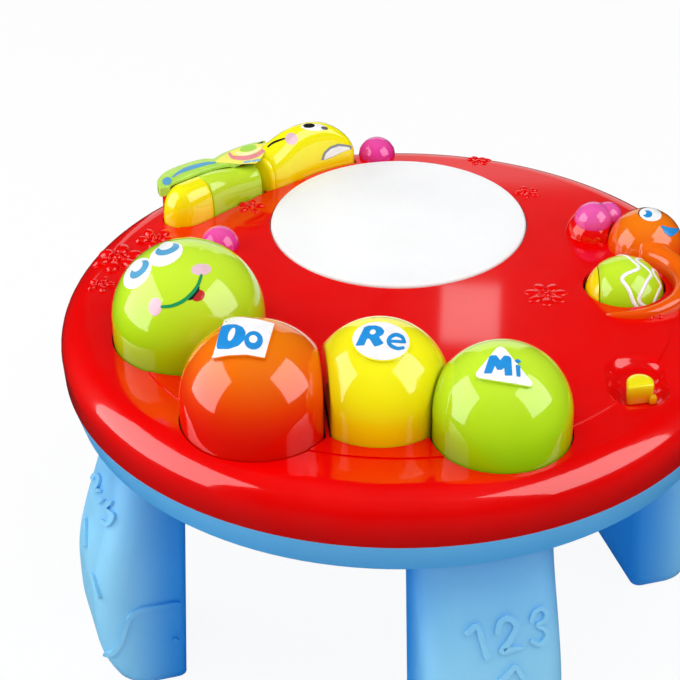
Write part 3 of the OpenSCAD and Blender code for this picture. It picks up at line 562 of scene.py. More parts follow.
def laid_on(
    name: str, flats: Iterable[bpy.types.Mesh], place: Placer, height: float,
    sink: float = 0.15, cell: float = 1.2, bevel: float = 0.0,
) -> Piece:
    """Lays flat shapes on a surface as thin closed patches.

    Args:
        name: The piece's name.
        flats: Flat meshes; they are used up.
        place: Gives the point for a flat position and a height.
        height: How far the patches stand above the surface.
        sink: How far they reach into it.
        cell: Largest step between points, so that the patches follow the surface.
        bevel: Width of the rounding along the top edges.

    Returns:
        The finished piece.
    """
    bm = bmesh.new()
    for flat in flats:
        bm.from_mesh(flat)
        bpy.data.meshes.remove(flat)
    bmesh.ops.remove_doubles(bm, verts=bm.verts, dist=1e-4)
    for axis in (0, 1):
        values = [v.co[axis] for v in bm.verts]
        low, high = min(values), max(values)
        for i in range(1, int((high - low) / cell) + 1):
            at = low + i * cell
            if at >= high - 1e-3:
                break
            point, normal = [0.0] * 3, [0.0] * 3
            point[axis], normal[axis] = at, 1.0
            parts = bm.verts[:] + bm.edges[:] + bm.faces[:]
            bmesh.ops.bisect_plane(bm, geom=parts, plane_co=point, plane_no=normal, dist=1e-5)
    bmesh.ops.triangulate(bm, faces=[f for f in bm.faces if len(f.verts) > 4])
    grown = bmesh.ops.extrude_face_region(bm, geom=bm.faces[:])
    tops = {e for e in grown["geom"] if isinstance(e, bmesh.types.BMVert)}
    for vert in bm.verts:
        vert.co = place(vert.co.x, vert.co.y, height if vert in tops else -sink)
    piece = from_bmesh(name, bm, 45)
    if bevel:
        rounding = piece.modifiers.new("rounding", "BEVEL")
        rounding.width = bevel * MM
        rounding.segments = 3
        rounding.limit_method = "ANGLE"
        rounding.angle_limit = radians(50)
        baked(piece)
    return piece


# ---- finishes ----

PLASTIC_IOR = 1.54
LACQUER_IOR = 1.5


def start_material(name: str) -> tuple[Any, Any, Any, Any]:
    """Starts a node material.

    Args:
        name: The material's name.

    Returns:
        The material, its node tree, its shader and a socket with the place on the piece.
    """
    material = bpy.data.materials.new(name)
    material.use_nodes = True
    tree = material.node_tree
    where = add_node(tree, "ShaderNodeTexCoord").outputs["Object"]
    return material, tree, tree.nodes["Principled BSDF"], where


def fill_all(node: bpy.types.Node, values: dict[str, Any]) -> None:
    """Fills inputs of a node with plain values or sockets."""
    for key, value in values.items():
        fill(node.inputs[key], value)


@dataclass(frozen=True)
class Moulded:
    """Injection-moulded plastic, its colour ramped by height: painted light at the top, painted shade
    towards the lower edge.
    """

    name: str
    top: str
    middle: str
    low: str
    low_z: float
    top_z: float
    roughness: float = 0.16
    coat: float = 0.9
    specular: float = 0.12
    wave_mm: float = 9.0
    grain_mm: float = 0.0
    through: float = 0.0
    glow: float = 0.0
    # The inside colour and the two reaches after it: painted shade, deepest towards the table's axis
    inside: str = ""
    inner_shade_from: float = 114.0
    inner_shade_to: float = 148.0
    touch_mm: float = 14.0

    def make(self) -> Material:
        """Builds the material.

        Returns:
            A node material: colour by height, as painted light at the top and painted shade towards
            the lower edge, faint flow marks, slight waviness of the moulded skin and, on satin parts,
            a fine spark-eroded grain.
        """
        material, tree, shader, where = start_material(self.name)
        height = add_node(tree, "ShaderNodeSeparateXYZ", {0: where}).outputs["Z"]
        rise = add_node(tree, RANGE, {0: height, 1: self.low_z * MM, 2: self.top_z * MM})
        # Height ramp of the low, middle and top colours: painted light at the top, painted shade towards the
        # lower edge
        shade = add_node(tree, "ShaderNodeValToRGB", {0: rise})
        ramp = shade.color_ramp
        ramp.interpolation = "B_SPLINE"
        ramp.elements[0].color = linear(self.low)
        ramp.elements[1].color = linear(self.top)
        ramp.elements.new(0.45).color = linear(self.middle)
        colour = shade
        # Painted shade on the faces turned towards the table's axis
        if self.inside:
            colour = self.with_painted_inner_shade(tree, where, colour)
        flow = add_node(tree, NOISE, {"Scale": 1 / (self.wave_mm * 4 * MM), "Detail": 3.0, "Vector": where})
        dim = add_node(tree, RANGE, {0: flow, 1: 0.3, 2: 0.7, 3: 0.96, 4: 1.03})
        tint = add_node(tree, VECTOR, {"operation": "SCALE", 0: colour, "Scale": dim})
        touch = add_node(tree, NOISE, {"Scale": 1 / (self.touch_mm * MM), "Detail": 4.0, "Vector": where})
        low, high = self.roughness * 0.85, self.roughness * 1.2
        rough = add_node(tree, RANGE, {0: touch, 1: 0.3, 2: 0.7, 3: low, 4: high})
        skin = add_node(tree, NOISE, {"Scale": 1 / (self.wave_mm * MM), "Detail": 1.0, "Vector": where})
        bump = add_node(tree, BUMP, {"Strength": 0.2, "Distance": 0.04 * MM, "Height": skin})
        if self.grain_mm:
            fine = add_node(tree, NOISE, {"Scale": 1 / (self.grain_mm * MM), "Detail": 2.0, "Vector": where})
            bump = add_node(
                tree, BUMP, {"Strength": 0.25, "Distance": 0.05 * MM}, {"Height": fine, "Normal": bump}
            )
        fill_all(shader, {
            "Base Color": tint, "Roughness": rough, "Normal": bump,
            "IOR": PLASTIC_IOR, "Specular IOR Level": self.specular,
            "Coat Weight": self.coat, "Coat Roughness": 0.05, "Coat IOR": LACQUER_IOR,
        })
        if self.glow:
            fill_all(shader, {"Sheen Weight": self.glow, "Sheen Roughness": 0.25,
                              "Sheen Tint": linear(self.top)})
        if self.through:
            fill_all(shader, {
                "Subsurface Weight": self.through, "Subsurface Radius": (1.0, 0.5, 0.3),
                "Subsurface Scale": 4 * MM,
            })
        return material

    def with_painted_inner_shade(self, tree: bpy.types.NodeTree, where: Any, colour: Any) -> Any:
        """Darkens the colour towards the table's axis: painted shade on the faces turned inwards.

        Args:
            tree: The material's nodes.
            where: Socket with the place on the piece.
            colour: Socket with the outer colour.

        Returns:
            Socket with the blended colour.
        """
        flat = add_node(tree, VECTOR, {"operation": "MULTIPLY", 0: where, 1: (1.0, 1.0, 0.0)})
        reach = add_node(tree, VECTOR, {"operation": "LENGTH", 0: flat})
        out = add_node(
            tree, RANGE, {"interpolation_type": "SMOOTHSTEP", 0: reach.outputs["Value"]},
            {1: self.inner_shade_from * MM, 2: self.inner_shade_to * MM},
        )
        ends = {0: out, 6: linear(self.inside), 7: colour}
        return add_node(tree, "ShaderNodeMix", {"data_type": "RGBA"}, ends).outputs[2]


@dataclass(frozen=True)
class Printed:
    """Pad-printed ink: an even, slightly raised film with a soft gloss."""

    name: str
    colour: str
    roughness: float = 0.3
    cloud_mm: float = 5.0
    screen_mm: float = 0.6

    def make(self) -> Material:
        """Builds the material: ink of slightly uneven density over a fine screen texture."""
        material, tree, shader, where = start_material(self.name)
        cloud = add_node(tree, NOISE, {"Scale": 1 / (self.cloud_mm * MM), "Detail": 3.0, "Vector": where})
        dim = add_node(tree, RANGE, {0: cloud, 1: 0.3, 2: 0.7, 3: 0.93, 4: 1.04})
        flat = {"operation": "SCALE", 0: linear(self.colour)[:3], "Scale": dim}
        screen = add_node(tree, NOISE, {"Scale": 1 / (self.screen_mm * MM), "Vector": where})
        film = {"Strength": 0.2, "Distance": 0.03 * MM, "Height": screen}
        rough = {0: screen, 3: self.roughness * 0.8, 4: self.roughness * 1.2}
        fill_all(shader, {
            "Base Color": add_node(tree, VECTOR, flat),
            "Normal": add_node(tree, BUMP, film),
            "Roughness": add_node(tree, RANGE, rough),
            "Specular IOR Level": 0.2, "Coat Weight": 0.5, "Coat Roughness": 0.06,
        })
        return material


class Metal(Enum):
    """Metals of the inside, with colour and roughness."""

    ZINC_STEEL = ("zinc_plated_steel", "c9ccd0", 0.32)
    NICKEL_STRIP = ("nickel_plated_spring_strip", "d8d2c0", 0.25)
    BLACK_STEEL = ("black_pressed_steel", "2a2b2d", 0.45)
    FOIL_WRAP = ("foil_wrapped_cell", "b99b4a", 0.3)

    def make(self) -> Material:
        """Builds the material: plated metal with fine drawing lines and small stains."""
        name, colour, roughness = self.value
        material, tree, shader, where = start_material(name)
        drawn = add_node(tree, "ShaderNodeMapping", {"Scale": (1.0, 1.0, 0.15), "Vector": where})
        lines = add_node(tree, NOISE, {"Scale": 1 / (0.5 * MM), "Vector": drawn})
        stain = add_node(tree, NOISE, {"Scale": 1 / (6 * MM), "Detail": 4.0, "Vector": where})
        dim = add_node(tree, RANGE, {0: stain, 3: 0.8, 4: 1.1})
        flat = {"operation": "SCALE", 0: linear(colour)[:3], "Scale": dim}
        rough = {0: lines, 3: roughness * 0.75, 4: roughness * 1.3}
        scratch = {"Strength": 0.2, "Distance": 0.02 * MM, "Height": lines}
        fill_all(shader, {
            "Base Color": add_node(tree, VECTOR, flat),
            "Roughness": add_node(tree, RANGE, rough),
            "Normal": add_node(tree, BUMP, scratch),
            "Metallic": 1.0,
        })
        return material


Print = tuple[str, list[Point2], Printed, float]


# ABS from a polished tool: deep red under a hard clear gloss, darker under the rim as painted shade
RED = Moulded("glossy_red_abs", "f00000", "e00000", "a80000", 142, 168, 0.2, 0.9, 0.1)
# ABS from a spark-eroded tool: light blue, satin, with a fine grain; darker towards the lower edge as
# painted shade
BLUE = Moulded("satin_light_blue_abs", "5cb2e8", "3f9fe0", "3096dc", 120, 143, 0.4, 0.0, 0.45, 14, 0.7)
# Legs: light blue plastic, paled further as painted satin reflection; deep blue towards the table's axis as
# painted shade
BLUE_LEG = Moulded("satin_light_blue_leg", "84cef6", "8cd4f8", "86d0f7", 0, 128, 0.36, 0.0, 0.7, 14, 0.7,
                   inside="0090ea")
# Tinted translucent styrene: glows lighter where it faces the light; its light orange top is painted light
# and its dark red foot painted shade
ORANGE = Moulded("glossy_orange_styrene", "f89410", "ea2a02", "dc0000", 172, 211, 0.12, glow=0.12)
# These mouldings too: lighter at the top as painted light, darker towards the foot as painted shade
SNAIL_ORANGE = Moulded("glossy_orange_abs", "f68a14", "f46404", "ee3a02", 164, 186, 0.14, glow=0.08)
YELLOW = Moulded("glossy_yellow_styrene", "fffa20", "fff000", "f2b400", 160, 202, 0.12)
YELLOW_LOW = Moulded("glossy_yellow_abs", "fffa1c", "fff000", "ffd000", 162, 188, 0.14)
KNOB_YELLOW = Moulded("glossy_deep_yellow_abs", "fffa1c", "f0b400", "e89000", 163, 172.5, 0.16)
GREEN = Moulded("glossy_lime_styrene", "d0f43c", "b2e004", "7cb800", 162, 206, 0.12)
GREEN_LOW = Moulded("glossy_lime_abs", "d2f43e", "bee81c", "98d800", 160, 184, 0.14)
PINK = Moulded("glossy_pink_abs", "f064b4", "ee3098", "d80070", 164, 177, 0.1)
# Milky polystyrene with a matt face: light from the lamps passes through it
MILKY = Moulded("frosted_milky_styrene", "fafafc", "f8f8fb", "f0eef4", 160, 168, 0.5, 0.0, 0.2, 10, 0.9,
                through=0.15)
# Unpolished black moulding of the hidden carriers
CARRIER = Moulded("matt_black_carrier_abs", "38383c", "333338", "2a2a2e", 120, 160, 0.55, 0.0, 0.3, 10, 0.8)
# Grey nylon of the switch case, slightly waxy
CASE = Moulded("grey_switch_nylon", "b8b8be", "b4b4ba", "a2a2a8", 150, 165, 0.45, 0.0, 0.4, 8, 0.8)
# Matt silicone rubber of the contact pads
RUBBER = Moulded("dark_silicone_rubber", "404044", "3c3c40", "38383c", 130, 145, 0.7, 0.0, 0.3, 4, 0.8)
# Resin board under green solder lacquer
BOARD = Moulded("green_coated_board", "1c6a36", "1a6634", "185c30", 130, 145, 0.35, 0.3, 0.5, 5, 1.2)
# Cast resin of the lamps, clear enough to gleam through
LENS = Moulded("cast_lamp_lens", "f6b0a8", "f4a49a", "f09a90", 135, 150, 0.1, 1.0, 0.5, 6, 0.0, 0.3)
# Pad-printing inks: thin even films with a soft gloss
WHITE_INK = Printed("white_ink", "fbfafc")
BLUE_INK = Printed("blue_ink", "1e90dc")
SKY_INK = Printed("sky_blue_ink", "5aa8d4")
PALE_BLUE_INK = Printed("pale_blue_ink", "86c4ea")
BLACK_INK = Printed("black_ink", "1c2024")
GREY_INK = Printed("grey_ink", "8c9098")
PINK_INK = Printed("pale_pink_ink", "eec6d4")
ROSE_INK = Printed("rose_ink", "f08c94")
GREEN_INK = Printed("green_ink", "109a58")
LIME_INK = Printed("lime_ink", "bce85a")
LIME_EDGE_INK = Printed("lime_edge_ink", "a8e03c")
TONGUE_INK = Printed("red_brown_ink", "c41c10")
YELLOW_INK = Printed("yellow_ink", "fdf668")
CREAM_INK = Printed("cream_ink", "fffbc0")


@dataclass
class Paints:
    """Makes each finish once and hands out its material."""

    made: dict[str, Material] = field(default_factory=dict)

    def of(self, finish: Moulded | Printed | Metal) -> Material:
        """Returns the material of a finish."""
        key = finish.value[0] if isinstance(finish, Metal) else finish.name
        if key not in self.made:
            self.made[key] = finish.make()
        return self.made[key]


# ---- the camera's place ----


@dataclass(frozen=True)
class ViewPoint:
    """Camera pose and frame."""

    distance: float = 990.87
    elevation: float = 0.568586
    pitch: float = 0.566714
    yaw: float = -0.031157
    roll: float = -0.013580
    focal_px: float = 2200.0
    frame_px: float = 680.0
    sensor_mm: float = 36.0

    @property
    def eye(self) -> Vector:
        """Where the camera stands, in millimetres."""
        reach, rise = cos(self.elevation), sin(self.elevation)
        return Vector((0, -self.distance * reach, self.distance * rise + SEAM_Z))

    def axes(self) -> tuple[Vector, Vector, Vector]:
        """Returns the directions to the right, upwards and forwards."""
        cp, sp = cos(self.pitch), sin(self.pitch)
        cy, sy = cos(self.yaw), sin(self.yaw)
        ahead = Vector((sy * cp, cy * cp, -sp))
        side = Vector((cy, -sy, 0))
        up = side.cross(ahead)
        cr, sr = cos(self.roll), sin(self.roll)
        return side * cr + up * sr, up * cr - side * sr, ahead

    def ray(self, px: float, py: float) -> Vector:
        """Gives the direction through a pixel of the frame.

        Args:
            px: Pixels from the left.
            py: Pixels from the top.

        Returns:
            The direction from the camera, one long.
        """
        right, up, ahead = self.axes()
        mid = self.frame_px / 2
        return (ahead * self.focal_px + right * (px - mid) - up * (py - mid)).normalized()

    def camera(self) -> Piece:
        """Makes the camera."""
        data = bpy.data.cameras.new("camera")
        data.sensor_width = self.sensor_mm
        data.lens = self.focal_px / self.frame_px * self.sensor_mm
        data.clip_start, data.clip_end = 0.01, 30
        camera = linked("camera", data)
        right, up, ahead = self.axes()
        turn = Matrix((right, up, -ahead)).transposed().to_4x4()
        camera.matrix_world = Matrix.Translation(self.eye * MM) @ turn
        bpy.context.scene.camera = camera
        return camera


# ---- common work of the sub-assemblies ----


@dataclass
class SubAssembly:
    """Common work of every sub-assembly: dressing pieces and putting them on their bodies."""

    frame: dict[str, Any]
    paints: Paints
    view: ViewPoint = field(default_factory=ViewPoint)

    def dress(self, node: str, finish: Moulded | Printed | Metal) -> None:
        """Gives a CAD node its finish.

        Args:
            node: The node's name.
            finish: Its finish.
        """
        cad = self.frame["nodes"][node]
        cad.data.materials.clear()
        cad.data.materials.append(self.paints.of(finish))
        log.info("%s: CAD node, %s", node, finish.name)

    def place(
        self, piece: Piece, body: str, slot: str, finish: Moulded | Printed | Metal,
        replaces: Sequence[str] = (),
    ) -> Piece:
        """Puts a finished piece on its body.

        Args:
            piece: The piece, in place.
            body: The CAD body it moves with.
            slot: The record's material slot; not used.
            finish: Its finish.
            replaces: CAD nodes that it stands for.

        Returns:
            The piece.
        """
        piece.data.materials.clear()
        piece.data.materials.append(self.paints.of(finish))
        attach(piece, body)
        if replaces:
            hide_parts(*replaces)
        log.info("%s: on %s, %d faces", piece.name, body, len(piece.data.polygons))
        return piece

    def print_on(
        self, kind: str, prints: Iterable[Print], place: Placer, body: str, sink: float, cell: float
    ) -> None:
        """Prints closed outlines on a surface, each in its own ink.

        Args:
            kind: First part of the pieces' names.
            prints: Name, outline, ink and film height of each print.
            place: Gives the point for a flat position and a height.
            body: The CAD body they move with.
            sink: How far the films reach into the surface.
            cell: Largest step between points.
        """
        for name, outline, ink, height in prints:
            film = laid_on(f"{kind}_{name}", [flat_outlines([outline])], place, height, sink, cell)
            self.place(film, body, "wing_print", ink)


@dataclass(frozen=True)
class SeenOnBall:
    """Places flat points, given as pixels of the frame, on a ball."""

    view: ViewPoint
    centre: Vector
    radius: float

    def __call__(self, u: float, v: float, h: float) -> Vector:
        """Returns the point h above the ball seen at pixel (u, v), in millimetres."""
        ray = self.view.ray(u, v)
        away = self.view.eye - self.centre
        b = away.dot(ray)
        inside = b * b - away.length_squared + self.radius**2
        reach = -b - sqrt(max(inside, 0.0))
        normal = (away + ray * reach).normalized()
        return self.centre + normal * (self.radius + h)


@dataclass(frozen=True)
class SeenOnLevel:
    """Places flat points, given as pixels of the frame, on a level plane."""

    view: ViewPoint
    level: float

    def __call__(self, u: float, v: float, h: float) -> Vector:
        """Returns the point h above the plane seen at pixel (u, v), in millimetres."""
        ray = self.view.ray(u, v)
        spot = self.view.eye + ray * ((self.level - self.view.eye.z) / ray.z)
        return Vector((spot.x, spot.y, self.level + h))


@dataclass(frozen=True)
class AsSeen:
    """Places flat points, given as pixels of the frame, on the surface that shows there."""

    view: ViewPoint
    surface: BVHTree
    middle: Vector

    def __call__(self, u: float, v: float, h: float) -> Vector:
        """Returns the point h above the surface seen at pixel (u, v), in millimetres."""
        ray = self.view.ray(u, v)
        hit, normal, _, _ = self.surface.ray_cast(self.view.eye * MM, ray)
        if hit is None:
            beside = self.view.eye + ray * (self.middle - self.view.eye).dot(ray)
            hit, normal, _, _ = self.surface.find_nearest(beside * MM)
        if normal.dot(ray) > 0:
            normal = -normal
        return hit / MM + normal * h


# ---- studio ----

WHITE = (1, 1, 1, 1)


class Shines(Enum):
    """What a lamp is for."""

    GLOSS = "gloss"
    FILL = "fill"


@dataclass(frozen=True)
class SoftBox:
    """Square studio lamp that faces the table top."""

    name: str
    azimuth: float
    elevation: float
    distance: float
    size: float
    radiance: float
    purpose: Shines

    def make(self) -> None:
        """Makes the lamp. Azimuth is turned from the front towards the right."""
        data = bpy.data.lights.new(self.name, "AREA")
        data.shape = "SQUARE"
        data.size = self.size
        data.energy = self.radiance * pi * self.size**2
        lamp = linked(self.name, data)
        a, e = radians(self.azimuth), radians(self.elevation)
        away = Vector((sin(a) * cos(e), -cos(a) * cos(e), sin(e)))
        target = Vector((0, 0, DECK_Z * MM))
        turn = away.to_track_quat("Z", "Y").to_matrix().to_4x4()
        lamp.matrix_world = Matrix.Translation(target + away * self.distance) @ turn
        lamp.visible_camera = False
        lamp.visible_diffuse = self.purpose is Shines.FILL
        lamp.visible_glossy = self.purpose is Shines.GLOSS


@dataclass
class Studio:
    """Pale floor, white surroundings, soft boxes and the camera."""

    view: ViewPoint
    ambient: float = 0.36
    mirrored: float = 0.015
    paper_shine: float = 0.92
    paper_r: float = 3000.0
    boxes: tuple[SoftBox, ...] = (
        SoftBox("gloss_box_left", -80, 21, 1.3, 1.25, 4.0, Shines.GLOSS),
        SoftBox("gloss_box_right", 68, 36, 1.3, 1.1, 4.0, Shines.GLOSS),
        SoftBox("window", 176.1, 32.0, 1.29, 0.06, 2.2, Shines.GLOSS),
        SoftBox("backdrop", 180, 9.5, 2.2, 1.4, 0.8, Shines.GLOSS),
        SoftBox("fill_left", -95, 16, 1.3, 1.1, 2.8, Shines.FILL),
        SoftBox("fill_right", 80, 35, 1.3, 1.0, 1.3, Shines.FILL),
        SoftBox("fill_front", 0, 45, 1.5, 1.3, 1.3, Shines.FILL),
        SoftBox("fill_top", 0, 84, 1.5, 1.4, 1.3, Shines.FILL),
    )

    def build(self) -> None:
        """Sets up everything round the table."""
        self.view.camera()
        for box in self.boxes:
            box.make()
        self.surroundings()
        self.floor()
        bpy.context.scene.view_settings.view_transform = "Standard"

    def surroundings(self) -> None:
        """Makes the world: white where it is seen, plain grey light, dim in the gloss."""
        world = bpy.data.worlds.new("studio")
        bpy.context.scene.world = world
        world.use_nodes = True
        tree = world.node_tree
        tree.nodes.clear()
        path = add_node(tree, "ShaderNodeLightPath")
        soft, gloss, white = (
            add_node(tree, "ShaderNodeBackground", {"Color": WHITE, "Strength": level})
            for level in (self.ambient, self.mirrored, 1.0)
        )
        unseen = add_node(tree, MIXED, {0: path.outputs["Is Glossy Ray"], 1: soft, 2: gloss})
        mix = add_node(tree, MIXED, {0: path.outputs["Is Camera Ray"], 1: unseen, 2: white})
        add_node(tree, "ShaderNodeOutputWorld", {"Surface": mix})

    def floor(self) -> None:
        """Makes the floor: white paper that keeps the table's shadow."""
        bm = bmesh.new()
        add_turned(bm, (0, 0), [(0, 0), (self.paper_r, 0)], 64)
        bmesh.ops.delete(bm, geom=[f for f in bm.faces if len(f.verts) > 4], context="FACES_ONLY")
        floor = from_bmesh("floor", bm)
        if floor.data.polygons[0].normal.z < 0:
            floor.data.flip_normals()
        material, tree, shader, where = start_material("white_paper")
        fibre = add_node(tree, NOISE, {"Scale": 60.0, "Detail": 4.0, "Vector": where})
        shades = {0: fibre, 6: linear("f4f4f4"), 7: linear("fbfbfb")}
        pale = add_node(tree, "ShaderNodeMix", {"data_type": "RGBA"}, shades)
        fill_all(shader, {"Base Color": pale.outputs[2], "Roughness": 0.9})
        seen, mirrored = (add_node(tree, "ShaderNodeLightPath").outputs[f"Is {kind} Ray"]
                          for kind in ("Camera", "Glossy"))
        lit, dim = (add_node(tree, "ShaderNodeEmission", {"Color": WHITE, "Strength": level})
                    for level in (1.0, self.mirrored))
        share = add_node(tree, "ShaderNodeMath", {"operation": "MULTIPLY", 0: seen, 1: self.paper_shine})
        mix = add_node(tree, MIXED, {0: share, 1: shader, 2: lit})
        out = add_node(tree, MIXED, {0: mirrored, 1: mix, 2: dim})
        fill(tree.nodes["Material Output"].inputs["Surface"], out)
        floor.data.materials.append(material)


# ---- shells and legs ----


@dataclass
class Shells(SubAssembly):
    """Red top shell and light blue base shell."""

    def build(self) -> None:
        """Dresses both shells and the battery door."""
        self.dress("top_shell", RED)
        self.dress("base_shell", BLUE)
        self.dress("battery_door", BLUE)


# Reliefs on two legs, as pixels of the frame: the middle lines of raised strokes
LEFT_LEG_STROKES = (
    ([(94.8, 478.4), (97, 474.8), (100.2, 477), (99.4, 483.4), (96, 490.4), (101.4, 490.6)], 3.6),
    ([(101, 502), (106.4, 497), (112.4, 501), (107, 508.6), (114.2, 515), (109.4, 523.6),
      (101.8, 521)], 4.4),
    ([(86.9, 518.8), (86.6, 532), (86.3, 545.6)], 2.6),
    ([(93.7, 573.9), (96.4, 585), (100.1, 596.9)], 2.6),
    ([(177.6, 602.8), (171, 603.6), (158, 606), (145, 608.2), (136.1, 611.4), (128.9, 617.6),
      (125, 629.8), (120.5, 643.6), (113, 652.4), (107.6, 653)], 4.6),
    ([(174.6, 638.6), (177, 639.8)], 4),
)
FRONT_LEG_STROKES = (
    ([(466.4, 632), (476.4, 625.6), (481.4, 641), (486.4, 656.6)], 6),
    ([(496.8, 631.4), (499.8, 621), (508.4, 617.4), (515.4, 625.4), (509.6, 638.4), (500.8, 650.4),
      (510.6, 648.4), (520, 645.4)], 6),
    ([(530.6, 619.6), (533.4, 611.6), (539.6, 607.8), (544.8, 612.4), (543, 619.4), (536.6, 624.4),
      (543.6, 629), (545, 636.4), (538.4, 643.4), (530.8, 640.4)], 4),
    ([(499.4, 680.4), (506.8, 673.4), (514.4, 666), (519.4, 672.6), (524.2, 680.4)], 5.2),
)


@dataclass
class Legs(SubAssembly):
    """Four hollow legs, flat inside and bulging outwards, pushed into the base."""

    turn: float = 17.4
    width: float = 61.0
    corner: float = 15.0
    in_top: float = 105.0
    in_foot: float = 110.5
    out_top: float = 130.8
    out_belly: float = 149.3
    out_foot: float = 140.7
    plug: Point2 = (22.0, 9.0)
    plug_low: float = 1.0
    plug_high: float = 5.0
    rows: int = 36
    names: tuple[str, ...] = ("front", "right", "back", "left")
    strokes: dict[str, Sequence[tuple[list[Point2], float]]] = field(
        default_factory=lambda: {"left": LEFT_LEG_STROKES, "front": FRONT_LEG_STROKES}
    )

    def outer(self, s: float) -> float:
        """Reach of the outer face at a share s of the length below the top."""
        swell = self.out_top + (self.out_belly - self.out_top) * smooth_step(s / 0.65)
        return swell - (self.out_belly - self.out_foot) * (max(s - 0.7, 0) / 0.3) ** 3

    def inner(self, s: float) -> float:
        """Reach of the inner face at a share s of the length below the top."""
        return self.in_top + (self.in_foot - self.in_top) * s

    def ring(self, s: float, inset: float = 0.0) -> list[tuple[float, float, float]]:
        """Returns a leg's section at a share s of the length, before it is turned.

        Args:
            s: Share of the length below the top.
            inset: How far the section lies inside the leg's surface.

        Returns:
            Points of the section, clockwise from the inner left corner.
        """
        out, into, half = self.outer(s) - inset, self.inner(s) + inset, self.width / 2 - inset
        big = min(self.corner, (out - into) * 0.75)
        small = 4.0
        z = FLOOR_Z * (1 - s)
        points = []
        for x, y, r, start, steps in (
            (small - half, -into - small, small, 180, 4),
            (half - small, -into - small, small, 90, 4),
            (half - big, big - out, big, 0, 12),
            (big - half, big - out, big, -90, 12),
        ):
            for i in range(steps + 1):
                a = radians(start - 90 * i / steps)
                points.append((x + r * cos(a), y + r * sin(a), z))
        return points

    def build(self) -> None:
        """Builds the four legs."""
        for i, name in enumerate(self.names):
            bm = bmesh.new()
            foot = [self.ring(1 - 0.002 * k, 1.4 - 0.35 * k) for k in range(4)]
            rings = [[(x, y, z if j else 0.0) for x, y, z in r] for j, r in enumerate(foot)]
            rings += [self.ring((self.rows - j) / self.rows * 0.99) for j in range(self.rows + 1)]
            add_loft(bm, rings)
            reach = (self.in_top + self.out_top) / 2
            w, d = self.plug
            plug = [(x, -reach + y) for x, y in ((-w, -d), (w, -d), (w, d), (-w, d))]
            ends = (FLOOR_Z - self.plug_low, FLOOR_Z + self.plug_high)
            add_loft(bm, [[(x, y, z) for x, y in plug] for z in ends])
            spin = Matrix.Rotation(radians(self.turn + 90 * i), 4, "Z")
            bmesh.ops.transform(bm, matrix=spin, verts=bm.verts)
            leg = from_bmesh(f"leg_{name}_moulding", bm, 50)
            self.place(leg, "table", "blue_leg", BLUE_LEG, [f"leg_{name}"])
            if name in self.strokes:
                self.relief(leg, name, self.strokes[name])

    def relief(self, leg: Piece, name: str, strokes: Sequence[tuple[list[Point2], float]]) -> None:
        """Raises rounded strokes on a leg's outer face.

        Args:
            leg: The leg's moulding.
            name: Which leg it is.
            strokes: Middle line and width of each stroke, in pixels of the frame.
        """
        seen = AsSeen(self.view, surface_of(leg), Vector(leg.bound_box[0]) / MM)
        for i, (line, width) in enumerate(strokes):
            flats = [flat_outlines([stroke(curve_through(line), width)])]
            ridge = laid_on(f"leg_{name}_relief_{i}", flats, seen, 1.5, 0.5, 2.4, 0.8)
            self.place(ridge, "table", "blue_leg", BLUE_LEG)


# ---- worm ----


@dataclass(frozen=True)
class Label:
    """Print on a key, in pixels of the frame: a white field and the shapes of the letters."""

    field: list[Point2]
    shapes: tuple[list[list[Point2]], ...]


# Shapes printed on the keys, as pixels of the 680-pixel frame
DO_FIELD = [(225.5, 317.5), (241, 317.2), (258, 319.5), (274.5, 323.7), (269.5, 340), (264.6, 357.8),
            (247, 354.6), (230, 355.2), (212.5, 357.8), (218, 338)]
DO_D = [(222, 326.5), (228, 324.8), (236, 324.6), (243, 327.5), (246, 333), (244.5, 340), (238.5, 346),
        (229, 349.2), (217.5, 349.3), (216.6, 346), (218.5, 336)]
RE_R = [(355.6, 345.9), (360, 336.5), (364.5, 327.4), (369, 325.9), (375.7, 325.8), (381.5, 327.6),
        (384.4, 331.4), (383.2, 334.6), (379, 337), (381, 340), (383.8, 343.4), (379.5, 345.6),
        (374.5, 346.9), (372, 343), (370.3, 339.9), (368.2, 338.2), (366.6, 339.9), (364.3, 345.5)]
RE_E_BAR = [(390.2, 341.4), (396, 341.6), (404.6, 342.2)]
RE_E_BOW = [(404.2, 341.6), (401.8, 337.2), (395.8, 335), (390.2, 337.6), (388.6, 342), (391.2, 346),
            (397.2, 348.6), (403, 348)]
MI_FIELD = [(500.7, 343.2), (472.5, 377), (535.6, 387)]
MI_M = [(483.9, 373.6), (486.8, 364.5), (489.6, 356.5), (492, 355.6), (496.4, 355.6), (500.2, 360.4),
        (504.3, 355.8), (509, 356.3), (511.3, 358.6), (512.4, 375.7), (504.8, 375.7), (504.3, 367.9),
        (501.5, 370.1), (497, 370), (495.1, 365.8), (491.8, 373.5)]
MI_I_STEM = [(515.5, 365.1), (520.2, 365.7), (520.5, 377), (516.5, 376.8)]
DO_PRINT = Label(
    rounded(DO_FIELD, 0.6, 2),
    ([rounded(DO_D, 1.4, 3), ellipse(231.6, 334.6, 3, 7, 22)],
     [ellipse(253.6, 340.6, 9.3, 9.2), ellipse(253.2, 339.2, 4.2, 4)]),
)
RE_PRINT = Label(
    ellipse(381, 341, 28.6, 19, 6, 44),
    ([rounded(RE_R, 0.9, 2), ellipse(372.8, 332.2, 3.1, 2.5, -20)],
     [stroke(RE_E_BAR, 3)],
     [stroke(curve_through(RE_E_BOW), 4, 0.8)]),
)
MI_PRINT = Label(
    rounded(MI_FIELD, 9, 8),
    ([rounded(MI_M, 0.8, 2)], [rounded(MI_I_STEM, 0.8, 2)], [ellipse(517.8, 361.4, 2.9, 1.7, 12)]),
)
SMILE_LINE = [(162, 306.8), (172, 305.8), (182.7, 301.2), (191.9, 293.4), (198, 285), (201.3, 275.6)]
